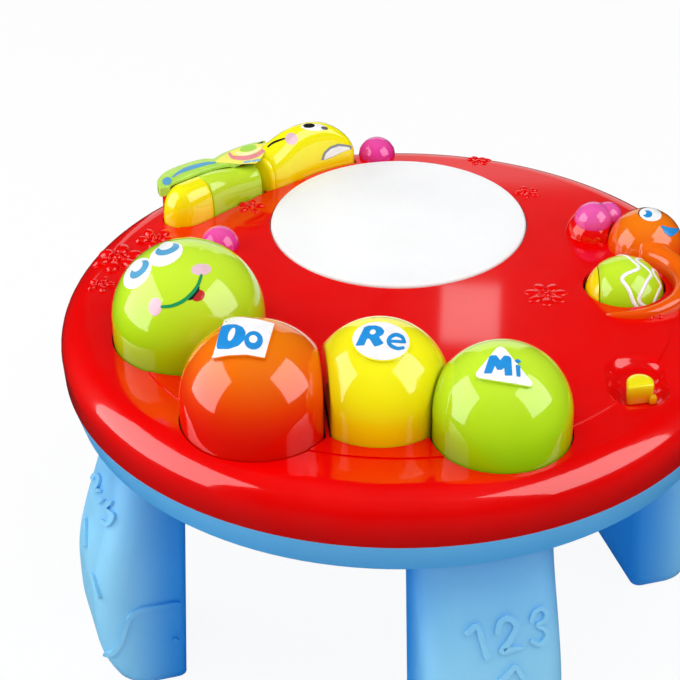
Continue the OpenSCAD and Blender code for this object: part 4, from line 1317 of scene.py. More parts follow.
WORM_FACE: tuple[Print, ...] = (
    ("eye_left", ellipse(137.6, 273.4, 18.2, 10.6, -51), WHITE_INK, 0.08),
    ("eye_right", ellipse(166.2, 254.6, 18, 10.2, -26), WHITE_INK, 0.12),
    ("iris_left", ellipse(139.6, 269.6, 12, 5.4, -44), SKY_INK, 0.20),
    ("iris_right", ellipse(167.4, 249.6, 12.4, 5, -18), SKY_INK, 0.20),
    ("glint_left", ellipse(137.8, 266.6, 6.4, 3.6, -46), WHITE_INK, 0.26),
    ("glint_right", ellipse(166.2, 246.2, 7.4, 3.6, -18), WHITE_INK, 0.26),
    ("cheek_left", ellipse(155.2, 306.8, 6.6, 9.2, 6), PINK_INK, 0.08),
    ("cheek_right", ellipse(201.2, 269.6, 10.2, 5.8, -4), PINK_INK, 0.08),
    ("tongue", ellipse(197.8, 295.4, 7, 5.8, -16), TONGUE_INK, 0.14),
    ("tongue_shade", rounded([(187.6, 300.6), (199.6, 286), (199.2, 291), (192.6, 299.4)], 1.2, 3),
     BLACK_INK, 0.17),
    ("smile", stroke(curve_through(SMILE_LINE), 3.6, 0.8), GREEN_INK, 0.24),
)


@dataclass(frozen=True)
class Seam:
    """Upright plane where a key stops: direction from the key's centre and distance."""

    turn: float
    reach: float


@dataclass(frozen=True)
class Dome:
    """One press key: a dome on a straight wall, cut where it meets a neighbour."""

    node: str
    centre: Point2
    radius: float
    slot: str
    finish: Moulded
    seams: tuple[Seam, ...] = ()
    wall: float = 2.2
    edge: float = 1.3

    @property
    def middle(self) -> Vector:
        """Centre of the dome's sphere."""
        return Vector((*self.centre, DOME_Z))

    def reach(self, turn: float, radius: float, inset: float) -> float:
        """Gives the plan radius, with the seams cut off by rounded corners.

        Args:
            turn: Direction in radians.
            radius: The dome's own radius.
            inset: How far the outline lies inside the dome's surface.

        Returns:
            The plan radius in that direction.
        """
        power = 36
        total = radius**-power
        for seam in self.seams:
            c = cos(turn - seam.turn)
            if c > 0.05:
                total += ((seam.reach - inset) / c) ** -power
        return total ** (-1 / power)

    def profile(self, turn: float, inset: float) -> list[Point2]:
        """Returns radius and height pairs from below the top to the lower edge.

        Args:
            turn: Direction in radians.
            inset: How far the profile lies inside the dome's surface.

        Returns:
            The same number of pairs for every direction.
        """
        r = self.radius - inset
        stop = self.reach(turn, r, inset)
        edge = self.edge if inset == 0 else 0.4
        last = asin(min(stop / r, 1.0))
        before = max(last - edge / r, 0.1)
        arc = [(r * sin(before * i / 30), DOME_Z + r * cos(before * i / 30)) for i in range(1, 31)]
        corner = Vector((stop, DOME_Z + r * cos(last)))
        start, stop_low = Vector(arc[-1]), corner - Vector((0, edge))
        bend = []
        for i in range(1, 6):
            t = i / 5
            p = start * (1 - t) ** 2 + corner * 2 * t * (1 - t) + stop_low * t * t
            bend.append((p.x, p.y))
        low = [(stop, stop_low.y + (SKIRT_Z - stop_low.y) * i / 4) for i in range(1, 5)]
        return arc + bend + low

    def shell(self) -> Piece:
        """Builds the hollow key with its guide pin."""
        bm = bmesh.new()
        n = 144
        turns = [2 * pi * i / n for i in range(n)]
        skins = []
        for inset in (0.0, self.wall):
            rows = [self.profile(a, inset) for a in turns]
            count = len(rows[0])
            rings: list[Any] = [[(*self.centre, DOME_Z + self.radius - inset)]]
            for k in range(count):
                ring = []
                for a, row in zip(turns, rows):
                    r, z = row[k]
                    ring.append((self.centre[0] + r * cos(a), self.centre[1] + r * sin(a), z))
                rings.append(ring)
            skins.append(rings)
        add_loft(bm, skins[0] + list(reversed(skins[1])))
        add_pin(bm, self.centre, DOME_Z + self.radius - self.wall + 0.4)
        return from_bmesh(f"{self.node}_cap", bm, 50)


def seam_between(a: Point2, ra: float, b: Point2, rb: float, gap: float) -> Seam:
    """Finds the plane where two domes meet.

    Args:
        a: Centre of the key that the seam belongs to.
        ra: Its radius.
        b: Centre of its neighbour.
        rb: The neighbour's radius.
        gap: Width of the gap between them.

    Returns:
        The seam of key a towards key b.
    """
    dx, dy = b[0] - a[0], b[1] - a[1]
    far = hypot(dx, dy)
    return Seam(atan2(dy, dx), (far * far + ra * ra - rb * rb) / (2 * far) - gap / 2)


@dataclass
class Worm(SubAssembly):
    """Smiling head and three domed keys with note names."""

    head_at: Point2 = (-90.4, -28.8)
    do_at: Point2 = (-57.3, -91.6)
    re_at: Point2 = (-7.3, -84.8)
    mi_at: Point2 = (41.9, -101.5)
    head_r: float = 33.2
    do_r: float = 32.0
    re_r: float = 29.2
    mi_r: float = 29.0
    do_gap: float = 2.6
    re_gap: float = 0.8
    feelers_at: tuple[Point2, ...] = ((-82.6, 48.0), (-95.6, 37.6))
    feeler_r: float = 8.9
    pad_h: float = 1.6

    def domes(self) -> tuple[Dome, ...]:
        """Returns the four keys, from the head to the last key."""
        do, re, mi = (self.do_at, self.do_r), (self.re_at, self.re_r), (self.mi_at, self.mi_r)
        do_re, re_do = (seam_between(*a, *b, self.do_gap) for a, b in ((do, re), (re, do)))
        re_mi, mi_re = (seam_between(*a, *b, self.re_gap) for a, b in ((re, mi), (mi, re)))
        return (
            Dome("worm_head", self.head_at, self.head_r, "green_cap", GREEN),
            Dome("key_do", *do, "orange_cap", ORANGE, (do_re,)),
            Dome("key_re", *re, "yellow_cap", YELLOW, (re_do, re_mi)),
            Dome("key_mi", *mi, "green_cap", GREEN, (mi_re,)),
        )

    def build(self) -> None:
        """Builds the keys, their labels, the face and the feelers."""
        head, do, re, mi = self.domes()
        for dome in (head, do, re, mi):
            self.place(dome.shell(), dome.node, dome.slot, dome.finish, [dome.node])
        for dome, label in ((do, DO_PRINT), (re, RE_PRINT), (mi, MI_PRINT)):
            self.label(dome, label)
        face = SeenOnBall(self.view, head.middle, head.radius)
        self.print_on("worm", WORM_FACE, face, head.node, 0.1, 2.5)
        bm = bmesh.new()
        for x, y in self.feelers_at:
            add_ball(bm, Vector((x, y, DECK_Z)), self.feeler_r)
        self.place(from_bmesh("worm_feeler_balls", bm, 40), "table", "pink_ball", PINK, ["worm_feelers"])

    def label(self, dome: Dome, label: Label) -> None:
        """Builds the raised pad on a key and prints its white field and note name.

        Args:
            dome: The key.
            label: Its print.
        """
        seen = SeenOnBall(self.view, dome.middle, dome.radius + self.pad_h)
        middle = sum((Vector(p) for p in label.field), Vector((0, 0))) / len(label.field)
        edge = [tuple(middle + (Vector(p) - middle) * 1.05) for p in label.field]
        flats = [flat_outlines([edge])]
        pad = laid_on(f"{dome.node}_label_pad", flats, seen, 0.0, self.pad_h + 0.7, 2.6, 0.8)
        self.place(pad, dome.node, dome.slot, dome.finish)
        white = (("label_white", label.field, WHITE_INK, 0.12),)
        self.print_on(dome.node, white, seen, dome.node, 0.1, 3.0)
        flats = [flat_outlines(shape) for shape in label.shapes]
        letters = laid_on(f"{dome.node}_label_name", flats, seen, 0.22, 0.05, 3.0)
        self.place(letters, dome.node, "wing_print", BLUE_INK)


# ---- drum ----


@dataclass
class Drum(SubAssembly):
    """Round white pad that lights up."""

    radius: float = 60.0
    rise: float = 1.2
    edge: float = 1.2
    wall: float = 2.2
    ledge: float = 2.0
    ledge_z: float = 163.1

    def build(self) -> None:
        """Builds the pad as a shallow cup with a softly rounded edge."""
        r, top = self.radius, DECK_Z + self.rise
        outer = [(0.0, top)] + [(r * i / 12, top) for i in range(1, 12)]
        for a in range(0, 91, 15):
            z, x = polar(a, self.edge)
            outer.append((r - self.edge + x, top - self.edge + z))
        outer += [(r, self.ledge_z), (r + self.ledge, self.ledge_z), (r + self.ledge, SKIRT_Z)]
        inner = [(r - self.wall, SKIRT_Z), (r - self.wall, top - self.wall), (0.0, top - self.wall)]
        bm = bmesh.new()
        add_turned(bm, DRUM_AT, outer + inner, 160)
        pin_top = top - self.wall + 0.3
        add_pin(bm, DRUM_AT, pin_top, flange=False)
        for turn in DRUM_PIN_TURNS:
            x, y = polar(turn, DRUM_PIN_REACH)
            add_pin(bm, (DRUM_AT[0] + x, DRUM_AT[1] + y), pin_top)
        pad = from_bmesh("drum_pad_cup", bm, 50)
        self.place(pad, "drum_pad", "drum_white", MILKY, ["drum_pad"])


# ---- butterfly ----

WING_BLOB = ellipse(167, 181.2, 4.8, 3.9, -20)
WING_STREAM = [(172.5, 177), (181, 171.6), (190.3, 168), (205, 164), (215.5, 162.6)]
WING_VEIL = [(170.5, 177.8), (178, 172.4), (186.5, 170), (178, 175.6)]
WING_SUNNY_LOBE = [(214.5, 162.2), (220.5, 157.2), (229, 152), (241.5, 147.2), (256, 144.4),
                   (268.5, 142.4), (263, 156), (256.5, 163.4), (240, 164.2)]
WING_RING = [(229.4, 153.6), (232.6, 157.2), (240, 158.2), (249, 157.6), (257.6, 154.6), (263.8, 150),
             (267, 145.8)]
WING_RING_INSIDE = [(236, 152.6), (241, 154.2), (248.5, 153.8), (255.6, 151.2), (259.8, 148.2)]
WING_DASHES = ([(244.5, 162.4), (250, 161.4)], [(252.6, 161.2), (259.4, 160)])
BUTTERFLY_MOUTH = [(268, 146.8), (272.2, 143.4), (278, 140.8), (284.6, 138.6)]
BUTTERFLY_FACE: tuple[Print, ...] = (
    ("mouth", stroke(curve_through(BUTTERFLY_MOUTH), 1.9, 0.7), BLACK_INK, 0.2),
    ("cheek", ellipse(291.4, 138.8, 6.2, 6), PINK_INK, 0.12),
    ("eye_white", ellipse(313.6, 127.2, 13, 3.4, 3), WHITE_INK, 0.12),
    ("eye", ellipse(309, 125.8, 5.8, 2.2, -2), BLACK_INK, 0.2),
    ("second_eye", ellipse(324.4, 128.2, 3.6, 1.5, 12), BLACK_INK, 0.2),
    ("crescent_line", rounded([(321, 160.6), (323.6, 152.4), (329.6, 146.6), (338.4, 143.6), (350.6, 145.4),
                               (352.4, 148.6), (343, 151.6), (332, 157.4)], 1.6, 3), GREY_INK, 0.12),
    ("crescent", rounded([(323.4, 159.8), (325.6, 153.6), (331, 148.8), (338.8, 145.9), (349, 147.1),
                          (350.6, 148.9), (341.8, 151.9), (331.6, 157)], 1.6, 3), WHITE_INK, 0.2),
)


@dataclass
class Butterfly(SubAssembly):
    """Tail, body and head keys along the drum's edge, with a printed wing behind them."""

    tail_at: Point2 = (-101.5, 75.5)
    turn: float = 42.4
    tail_w: float = 10.5
    neck_w: float = 8.0
    length: float = 42.0
    flat: float = 2.5
    tail_h: float = 17.0
    neck_h: float = 13.2
    head_h: float = 23.4
    head_near: float = 64.6
    head_far: float = 141.0
    head_from: float = 154.0
    head_to: float = 109.0
    seam: float = 10.5
    wing_z: float = 181.4
    wing_t: float = 2.2
    lobes: tuple[Point2, ...] = (
        (-9.9, 6.8), (-6.4, 11.4), (1.7, 15.8), (11.5, 16.3), (20.0, 15.1), (24.4, 13.4), (26.9, 10.9),
        (30.0, 11.6), (36.0, 12.4), (46.0, 12.0), (54.0, 10.0), (59.0, 7.8),
    )
    lip: float = 3.0
    tip_lip: float = 5.5
    feeler_at: Point2 = (-10.7, 139.5)
    feeler_r: float = 9.0

    def along(self, s: float, k: float) -> Vector:
        """Returns the plan point s along the body's line and k beside it."""
        ahead = Vector(polar(self.turn, 1.0))
        return Vector(self.tail_at) + ahead * s + Vector((-ahead.y, ahead.x)) * k

    def halves(self, s: float) -> tuple[float, float]:
        """Gives the body's half widths.

        Args:
            s: Place along the body's line.

        Returns:
            How far the body reaches to its near and its far side.
        """
        cap = sqrt(max(1 - (s / self.tail_w) ** 2, 0)) if s < 0 else 1.0
        near = cap * (self.tail_w + (self.neck_w - self.tail_w) * smooth_step(s / self.length))
        return near, near - self.flat * cap

    def crest(self, s: float) -> float:
        """Returns the body's height above the play surface at s."""
        if s < 0:
            return self.tail_h * max(1 - (-s / self.tail_w) ** 2.4, 0) ** 0.45
        return self.tail_h + (self.neck_h - self.tail_h) * smooth_step((s - 16) / (self.length - 16))

    def arch(self, base: Vector, across: Vector, near: float, far: float, h: float) -> list[Vector]:
        """Returns a section: feet in the shell and a rounded top.

        Args:
            base: Plan point that the reaches start from.
            across: Plan direction across the piece.
            near: Reach of the near side along that direction.
            far: Reach of the far side.
            h: Height above the play surface.

        Returns:
            The section's points.
        """
        steps = 26
        middle, half = (near + far) / 2, (far - near) / 2
        ring = [Vector((*(base + across * near), SKIRT_Z))]
        for j in range(steps + 1):
            a = pi - pi * j / steps
            k = middle + half * signed_power(cos(a), 0.8)
            spot = base + across * k
            ring.append(Vector((spot.x, spot.y, DECK_Z + h * signed_power(sin(a), 0.75))))
        ring.append(Vector((*(base + across * far), SKIRT_Z)))
        return ring

    def body_ring(self, s: float, inset: float) -> list[Vector]:
        """Gives a section of the body.

        Args:
            s: Place along the body's line.
            inset: How far it is drawn in, for rounded ends.

        Returns:
            The section's points.
        """
        near, far = (max(reach - inset, 0.4) for reach in self.halves(s))
        out = Vector(polar(self.turn + 90, 1.0))
        return self.arch(self.along(s, 0), out, -near, far, max(self.crest(s) - inset, 0.4))

    def head_sides(self, u: float) -> tuple[float, float, float]:
        """Gives the head's place at a share of its length.

        Args:
            u: Share of the head's length, from the neck.

        Returns:
            Direction in radians, near and far reach, all from the drum's centre.
        """
        turn = self.head_from + (self.head_to - self.head_from) * u
        near = self.head_near + 5.4 * (1 - min(u / 0.3, 1)) ** 2
        a = radians(turn)
        y = DRUM_AT[1]
        far = -y * sin(a) + sqrt(self.head_far**2 - (y * cos(a)) ** 2)
        return a, near, far - 10 * (1 - min(u / 0.7, 1)) ** 1.5

    def head_ring(self, u: float, inset: float, squeeze: float = 1.0) -> list[Vector]:
        """Gives a section of the head.

        Args:
            u: Share of the head's length, from the neck.
            inset: How far it is drawn in.
            squeeze: Its width as a share, for the rounded end.

        Returns:
            The section's points.
        """
        a, near, far = self.head_sides(u)
        top = self.head_crest(u)
        middle, half = (near + far) / 2, (far - near) / 2 * squeeze
        across = Vector((cos(a), sin(a)))
        return self.arch(Vector(DRUM_AT), across, middle - half + inset, middle + half - inset,
                         (top - inset) * (0.4 + 0.6 * squeeze))

    def key(self, name: str, rings: list[list[Vector]], pin_at: Vector, pin_top: float) -> Piece:
        """Builds a key from its sections, with its guide pin.

        Args:
            name: The piece's name.
            rings: The key's sections.
            pin_at: The pin's place in the plan.
            pin_top: Height of its upper end.

        Returns:
            The key.
        """
        bm = bmesh.new()
        add_loft(bm, rings)
        add_pin(bm, pin_at, pin_top)
        return from_bmesh(name, bm, 55)

    def eased(self, start: float, stop: float, edge: float) -> list[tuple[float, float]]:
        """Gives the sections that round both ends of a run.

        Args:
            start: Where the run starts.
            stop: Where it ends.
            edge: Radius of the rounding.

        Returns:
            Places and insets.
        """
        turns = [radians(a) for a in (0, 22, 45, 68, 90)]
        first = [(start + edge * (1 - sin(a)), edge * (1 - cos(a))) for a in reversed(turns)]
        last = [(stop - edge * (1 - sin(a)), edge * (1 - cos(a))) for a in turns]
        steps = max(int((stop - start) / 1.6), 3)
        low, high = start + edge, stop - edge
        between = [(low + (high - low) * i / steps, 0.0) for i in range(1, steps)]
        return first + between + last

    def build(self) -> None:
        """Builds the three keys, the wing, the prints and the feeler."""
        tail_end = self.seam - 0.15
        tail = [(-self.tail_w * 0.99 * cos(pi / 2 * i / 18), 0.0) for i in range(18)]
        tail += [(s, inset) for s, inset in self.eased(0, tail_end, 0.6) if s > 0.7]
        tail_key = self.key("butterfly_tail_cap", [self.body_ring(s, i) for s, i in tail],
                            self.along(0, 0), DECK_Z + 14)
        self.place(tail_key, "butterfly_tail", "yellow_cap", YELLOW_LOW, ["butterfly_tail"])
        body = self.eased(self.seam + 0.15, self.length - 0.3, 0.6)
        middle = (self.seam + self.length) / 2
        body_key = self.key("butterfly_body_cap", [self.body_ring(s, i) for s, i in body],
                            self.along(middle, 0), DECK_Z + 12)
        self.place(body_key, "butterfly_body", "green_cap", GREEN_LOW, ["butterfly_body"])
        a, near, far = self.head_sides(0.42)
        pin_at = Vector(DRUM_AT) + Vector((cos(a), sin(a))) * (near + far) / 2
        start, per_mm = 0.035, 1 / 75
        neck = ((0, 1.0), (0.13, 0.5), (0.5, 0.13), (1.0, 0), (2.2, 0), (2.5, 0.15), (2.7, 0.5), (2.85, 0.9),
                (3.1, 0.9), (3.3, 0.5), (3.7, 0.15), (4.4, 0))
        rings = [self.head_ring(start + place * per_mm, inset) for place, inset in neck]
        after = start + 4.4 * per_mm
        rings += [self.head_ring(after + (0.93 - after) * i / 40, 0.0) for i in range(1, 41)]
        rings += [self.head_ring(0.93 + 0.07 * sin(radians(t)), 0.0, cos(radians(t)) ** 0.5)
                  for t in (20, 40, 55, 68, 78, 86)]
        head_key = self.key("butterfly_head_cap", rings, pin_at, DECK_Z + 20)
        self.place(head_key, "butterfly_head", "yellow_cap", YELLOW_LOW, ["butterfly_head"])
        seen = AsSeen(self.view, surface_of(head_key), Vector((*pin_at, DECK_Z + 15)))
        self.print_on("butterfly", BUTTERFLY_FACE, seen, "butterfly_head", 0.1, 2.0)
        self.wing()
        bm = bmesh.new()
        add_ball(bm, Vector((*self.feeler_at, DECK_Z - 1)), self.feeler_r, -6.0)
        feeler = from_bmesh("butterfly_feeler_ball", bm)
        self.place(feeler, "table", "pink_ball", PINK, ["butterfly_feeler"])

    def near_edge(self, s: float) -> float:
        """Finds where the wing starts, just clear of the key's crest.

        Args:
            s: Place along the body's line.

        Returns:
            The wing's near edge beside the line.
        """
        near, far = self.halves(s)
        middle, half = (far - near) / 2, (far + near) / 2
        level, h = self.wing_z - DECK_Z, self.crest(s)
        spread = 0.0
        if h > level:
            spread = half * sqrt(1 - (level / h) ** (8 / 3)) ** 0.8
        return max(middle + spread + 0.6, 3.0 if s < -2 else -5.0)

    def wing_outline(self) -> tuple[list[Vector], list[Vector]]:
        """Returns the wing's near edge along the keys and its lobed far edge, tail first."""
        lobes = curve_through([Vector(p) for p in self.lobes], 8)
        first, last = self.lobes[0][0], self.lobes[-1][0]
        near, far = [], []
        for i in range(91):
            share = i / 90
            eased = share**1.4 if share < 0.3 else share - (0.3 - 0.3**1.4) * (1 - share) / 0.7
            s = first + (last - first) * eased
            k = self.near_edge(s)
            edge = lobes[-1][1]
            for p, q in zip(lobes, lobes[1:]):
                if p[0] <= s <= q[0] and q[0] > p[0]:
                    edge = p[1] + (q[1] - p[1]) * (s - p[0]) / (q[0] - p[0])
                    break
            while self.inside_head(self.along(s, k), 1.2) and k < edge:
                k += 0.1
            middle = (k + edge) / 2
            ends = min((s - first) / 4.5, (last - s) / 3.0, 1.0)
            roundness = sqrt(max(1 - (1 - ends) ** 2, 0.0))
            if edge - k > 0.8 or i == 0:
                for side, reach in ((near, k), (far, edge)):
                    side.append(self.along(s, middle + (reach - middle) * max(roundness, 0.04)))
        return near, far

    def inside_head(self, spot: Vector, gap: float) -> bool:
        """Tells whether a plan point lies too close to the head at the wing's level.

        Args:
            spot: The plan point.
            gap: How far the wing keeps away from the head.

        Returns:
            True where the wing has to give way.
        """
        from_drum = spot - Vector(DRUM_AT)
        turn = degrees(atan2(from_drum.y, from_drum.x))
        u = (turn - self.head_from) / (self.head_to - self.head_from)
        if u < -gap / 55 or u > 1.02:
            return False
        u = max(u, 0.0)
        _, near, far = self.head_sides(u)
        level, h = self.wing_z - DECK_Z, self.head_crest(u)
        if h < level:
            return False
        half = (far - near) / 2 * sqrt(1 - (level / h) ** (8 / 3)) ** 0.8
        return abs(from_drum.length - (near + far) / 2) < half + gap

    def head_crest(self, u: float) -> float:
        """Returns the head's height above the play surface at u."""
        h = self.neck_h + (self.head_h - self.neck_h) * sin(pi * min(max(u, 0), 0.5))
        return h - ((self.head_h - 8) * ((u - 0.5) / 0.5) ** 2.6 if u > 0.5 else 0.0)

    def wing(self) -> None:
        """Builds the wing plate with rounded edges and its prints."""
        near, far = self.wing_outline()
        outline = near + list(reversed(far))
        n = len(outline)
        inward = []
        for i, spot in enumerate(outline):
            side = outline[(i + 1) % n] - outline[i - 1]
            inward.append(Vector((-side.y, side.x)).normalized())
        bm = bmesh.new()
        rings = []
        rounding = ((1.0, 0.0), (0.2, 0.0), (0.0, 0.2), (0.0, 1.3), (0.12, 1.75), (0.4, 2.05), (0.85, 2.2))
        for inset, z in rounding:
            rings.append([Vector((*(p + q * inset), self.wing_z + z)) for p, q in zip(outline, inward)])
        add_loft(bm, rings)
        tip = [spot for spot in near if (spot - near[0]).length < self.tip_lip]
        path = list(reversed(tip)) + far
        sides = list(reversed(inward[:len(tip)])) + list(reversed(inward[len(near):]))
        hem = ((0.02, 1.0), (0.02, 0.3 - self.lip), (0.3, -self.lip), (0.8, -self.lip),
               (1.05, 0.3 - self.lip), (1.05, 1.0))
        add_loft(bm, [[Vector((*(spot + side * k), self.wing_z + z)) for k, z in hem]
                      for spot, side in zip(path, sides)])
        bmesh.ops.triangulate(bm, faces=[f for f in bm.faces if len(f.verts) > 4])
        plate = from_bmesh("butterfly_wing_plate", bm, 35)
        self.place(plate, "table", "wing_print", LIME_INK, ["butterfly_wing"])
        seen = SeenOnLevel(self.view, self.wing_z + self.wing_t)
        self.print_on("wing", (
            ("sunny_lobe", rounded(WING_SUNNY_LOBE, 2.0, 3), YELLOW_INK, 0.08),
            ("blob", WING_BLOB, SKY_INK, 0.1),
            ("veil", rounded(WING_VEIL, 1.5, 3), PINK_INK, 0.07),
            ("stream", stroke(curve_through(WING_STREAM), 4.0, 0.35), SKY_INK, 0.1),
            ("ring", stroke(curve_through(WING_RING), 4.4, 0.6), ROSE_INK, 0.14),
            ("ring_inside", stroke(curve_through(WING_RING_INSIDE), 3.0, 0.5), CREAM_INK, 0.17),
            ("ring_middle", ellipse(248.2, 148.6, 8.6, 2.9, -12), LIME_EDGE_INK, 0.2),
        ), seen, "table", 0.05, 3.0)
        flats = [flat_outlines([stroke(line, 2.0)]) for line in WING_DASHES]
        dashes = laid_on("wing_dashes", flats, seen, 0.14, 0.05, 3.0)
        self.place(dashes, "table", "wing_print", PALE_BLUE_INK)


# ---- snail ----

SNAIL_MOUTH = [(660.6, 225.2), (670, 227.8), (679.8, 228.6), (675.2, 234.6), (669.8, 236.8),
               (665, 233.4)]
SNAIL_FACE: tuple[Print, ...] = (
    ("eye_line", ellipse(650, 213.8, 12, 7.2, 8), BLACK_INK, 0.1),
    ("eye", ellipse(650.4, 214.6, 11.2, 6.6, 8), WHITE_INK, 0.16),
    ("pupil", ellipse(647.4, 214.2, 4.8, 3.6, 8), BLUE_INK, 0.22),
    ("glint", ellipse(643.6, 213.2, 2.6, 1.9, 8), WHITE_INK, 0.28),
    ("mouth", rounded(SNAIL_MOUTH, 1.4, 3), BLUE_INK, 0.16),
)


@dataclass(frozen=True)
class Band:
    """One zigzag round the ball: place along the axle, swing, phase and skew of its waves."""

    place: float
    swing: float
    phase: float
    skew: float


@dataclass
class Snail(SubAssembly):
    """Fixed head and ridge round a turning ball with zigzag bands."""

    head_at: Point2 = (114.0, 48.5)
    head_r: float = 17.3
    roller_at: Point2 = (101.3, 12.0)
    roller_z: float = 161.7
    roller_r: float = 18.0
    foot: float = 1.4
    skin_cell: float = 0.55
    line_w: float = 1.8
    cap_seam: float = -12.0
    ring_r: float = 26.4
    ring_from: float = -113.0
    ring_to: float = 66.0
    feelers_at: tuple[Point2, ...] = ((90.7, 60.8), (97.8, 65.8))
    feelers_r: tuple[float, ...] = (8.9, 6.5)
    bands: tuple[Band, ...] = (
        Band(1.5, 3.9, -0.52, -0.7), Band(8.0, 3.0, -2.05, 0.5), Band(13.9, 1.8, 3.05, 0.4),
    )
    waves: int = 5

    def build(self) -> None:
        """Builds the head with its ridge and face, the ball, its cap and bands, and the feelers."""
        self.head()
        self.ball()
        bm = bmesh.new()
        for (x, y), radius in zip(self.feelers_at, self.feelers_r):
            add_ball(bm, Vector((x, y, DECK_Z + 5.9)), radius, -5.5)
        feelers = from_bmesh("snail_feeler_balls", bm)
        self.place(feelers, "table", "pink_ball", PINK, ["snail_feelers"])

    def ridge_rings(self) -> list[list[Vector]]:
        """Returns the ridge's sections, from its thin end to the head."""
        rows = 70
        rings = []
        for i in range(rows + 1):
            share = i / rows
            a = radians(self.ring_from + (self.ring_to - self.ring_from) * share)
            w, h = 0.7 + 6.3 * share**0.8, 0.6 + 8.9 * share**0.7
            away = Vector((cos(a), sin(a)))
            middle = Vector(self.roller_at) + away * self.ring_r
            ring = []
            for j in range(17):
                b = pi * j / 16
                spot = middle + away * w * signed_power(cos(b), 0.8)
                ring.append(Vector((*spot, DECK_Z + h * signed_power(sin(b), 0.8))))
            ring += [Vector((*(middle + away * side), DECK_Z - self.foot)) for side in (-w, w)]
            rings.append(ring)
        return rings

    def head(self) -> None:
        """Builds the head and the ridge as one blended moulding, with its face printed on."""
        bm = bmesh.new()
        add_loft(bm, self.ridge_rings())
        r = self.head_r
        dome = [(0.0, DECK_Z + r)] + [(r * sin(a), DECK_Z + r * cos(a))
                                      for a in (pi / 2 * i / 30 for i in range(1, 31))]
        low = DECK_Z - self.foot
        add_turned(bm, self.head_at, dome + [(r, low), (0.0, low)], 96)
        moulding = from_bmesh("snail_head_and_ridge", bm, 180)
        skin = moulding.modifiers.new("skin", "REMESH")
        skin.mode = "VOXEL"
        skin.voxel_size = self.skin_cell * MM
        melt = moulding.modifiers.new("melt", "SMOOTH")
        melt.factor = 0.5
        melt.iterations = 9
        smoothed(baked(moulding))
        self.place(moulding, "table", "orange_cap", SNAIL_ORANGE, ["snail_body"])
        seen = SeenOnBall(self.view, Vector((*self.head_at, DECK_Z)), r)
        self.print_on("snail", SNAIL_FACE, seen, "table", 0.3, 2.0)

    def turned_on_axle(self, bm: Shape, profile: Sequence[Point2]) -> None:
        """Adds a body of revolution about the roller's axle.

        Args:
            bm: The bmesh that takes the body.
            profile: Pairs of radius and place along the axle.
        """
        start = len(bm.verts)
        add_turned(bm, (0, 0), profile, 96)
        bm.verts.ensure_lookup_table()
        lie = Matrix.Translation((*self.roller_at, self.roller_z)) @ Matrix.Rotation(radians(90), 4, "Y")
        bmesh.ops.transform(bm, matrix=lie, verts=bm.verts[start:])

    def ball(self) -> None:
        """Builds the ball, its end cap and the raised zigzag bands."""
        r, seam = self.roller_r, self.cap_seam
        first = acos((seam + 0.2) / r)
        body: list[Point2] = [(0.0, seam + 0.15), (r * sin(first) - 0.9, seam + 0.15),
                              (r * sin(first) - 0.3, seam + 0.3)]
        turns = [first * (1 - i / 40) for i in range(1, 40)]
        body += [(r * sin(a), r * cos(a)) for a in turns]
        bm = bmesh.new()
        self.turned_on_axle(bm, body + [(0.0, r)])
        self.place(from_bmesh("snail_ball", bm, 50), "roller", "roller_green", GREEN_LOW, ["snail_roller"])
        last = acos((seam - 0.4) / r)
        turns = [pi - (pi - last) * i / 14 for i in range(1, 15)]
        cap: list[Point2] = [(0.0, -r)] + [((r - 0.25) * sin(a), (r - 0.25) * cos(a)) for a in turns]
        bm = bmesh.new()
        self.turned_on_axle(bm, cap + [(r * sin(last) - 1.2, seam), (0.0, seam)])
        end = from_bmesh("snail_ball_cap", bm, 50)
        self.place(end, "roller", "roller_yellow", YELLOW_LOW, ["roller_cap"])
        bands = self.band_growth(self.paints.of(WHITE_INK))
        for i, band_ in enumerate(self.bands):
            band = bands.grow(f"snail_ball_band_{i}", [], {
                "Place": band_.place * MM, "Swing": band_.swing * MM, "Ball radius": r * MM,
                "Line width": self.line_w * MM, "Phase": band_.phase, "Skew": band_.skew,
            })
            lie = Matrix.Translation(Vector((*self.roller_at, self.roller_z)) * MM)
            band.data.transform(lie)
            self.place(smoothed(band), "roller", "wing_print", WHITE_INK)

    def band_growth(self, material: Material) -> Growth:
        """Builds the tree of a zigzag band that runs round the ball's axle.

        Args:
            material: The band's finish.

        Returns:
            The tree, with inputs for the band's place, swing, phase, skew and width.
        """
        growth = Growth("zigzag_band")
        add, calc = growth.add, growth.math
        place, swing, radius, width, phase, skew = (growth.size(name) for name in (
            "Place", "Swing", "Ball radius", "Line width", "Phase", "Skew",
        ))
        ring = add("GeometryNodeCurvePrimitiveCircle", {"Resolution": 300})
        step = calc("DIVIDE", add("GeometryNodeInputIndex"), 300.0)
        angle = calc("MULTIPLY", step, 2 * pi)
        turn = calc("MULTIPLY_ADD", angle, float(self.waves), phase)
        wave = calc("SINE", calc("MULTIPLY_ADD", calc("SINE", turn), skew, turn))
        reach = calc("MULTIPLY_ADD", wave, swing, place)
        left = calc("SUBTRACT", calc("MULTIPLY", radius, radius), calc("MULTIPLY", reach, reach))
        inner = calc("SQRT", left)
        around = add(AXES, {
            0: reach,
            1: calc("MULTIPLY", inner, calc("COSINE", angle)),
            2: calc("MULTIPLY", inner, calc("SINE", angle)),
        })
        laid = add(MOVED, {0: ring, "Position": around})
        half = calc("MULTIPLY", width, 0.5)
        thick = add("GeometryNodeCurvePrimitiveCircle", {"Resolution": 8, "Radius": half})
        ends = {"Fill Caps": True, 0: laid, 1: thick}
        tube = add("GeometryNodeCurveToMesh", ends)
        flat = add("GeometryNodeInputPosition")
        unit = add(VECTOR, {"operation": "NORMALIZE", 0: flat})
        far = add(VECTOR, {"operation": "LENGTH", 0: flat}).outputs["Value"]
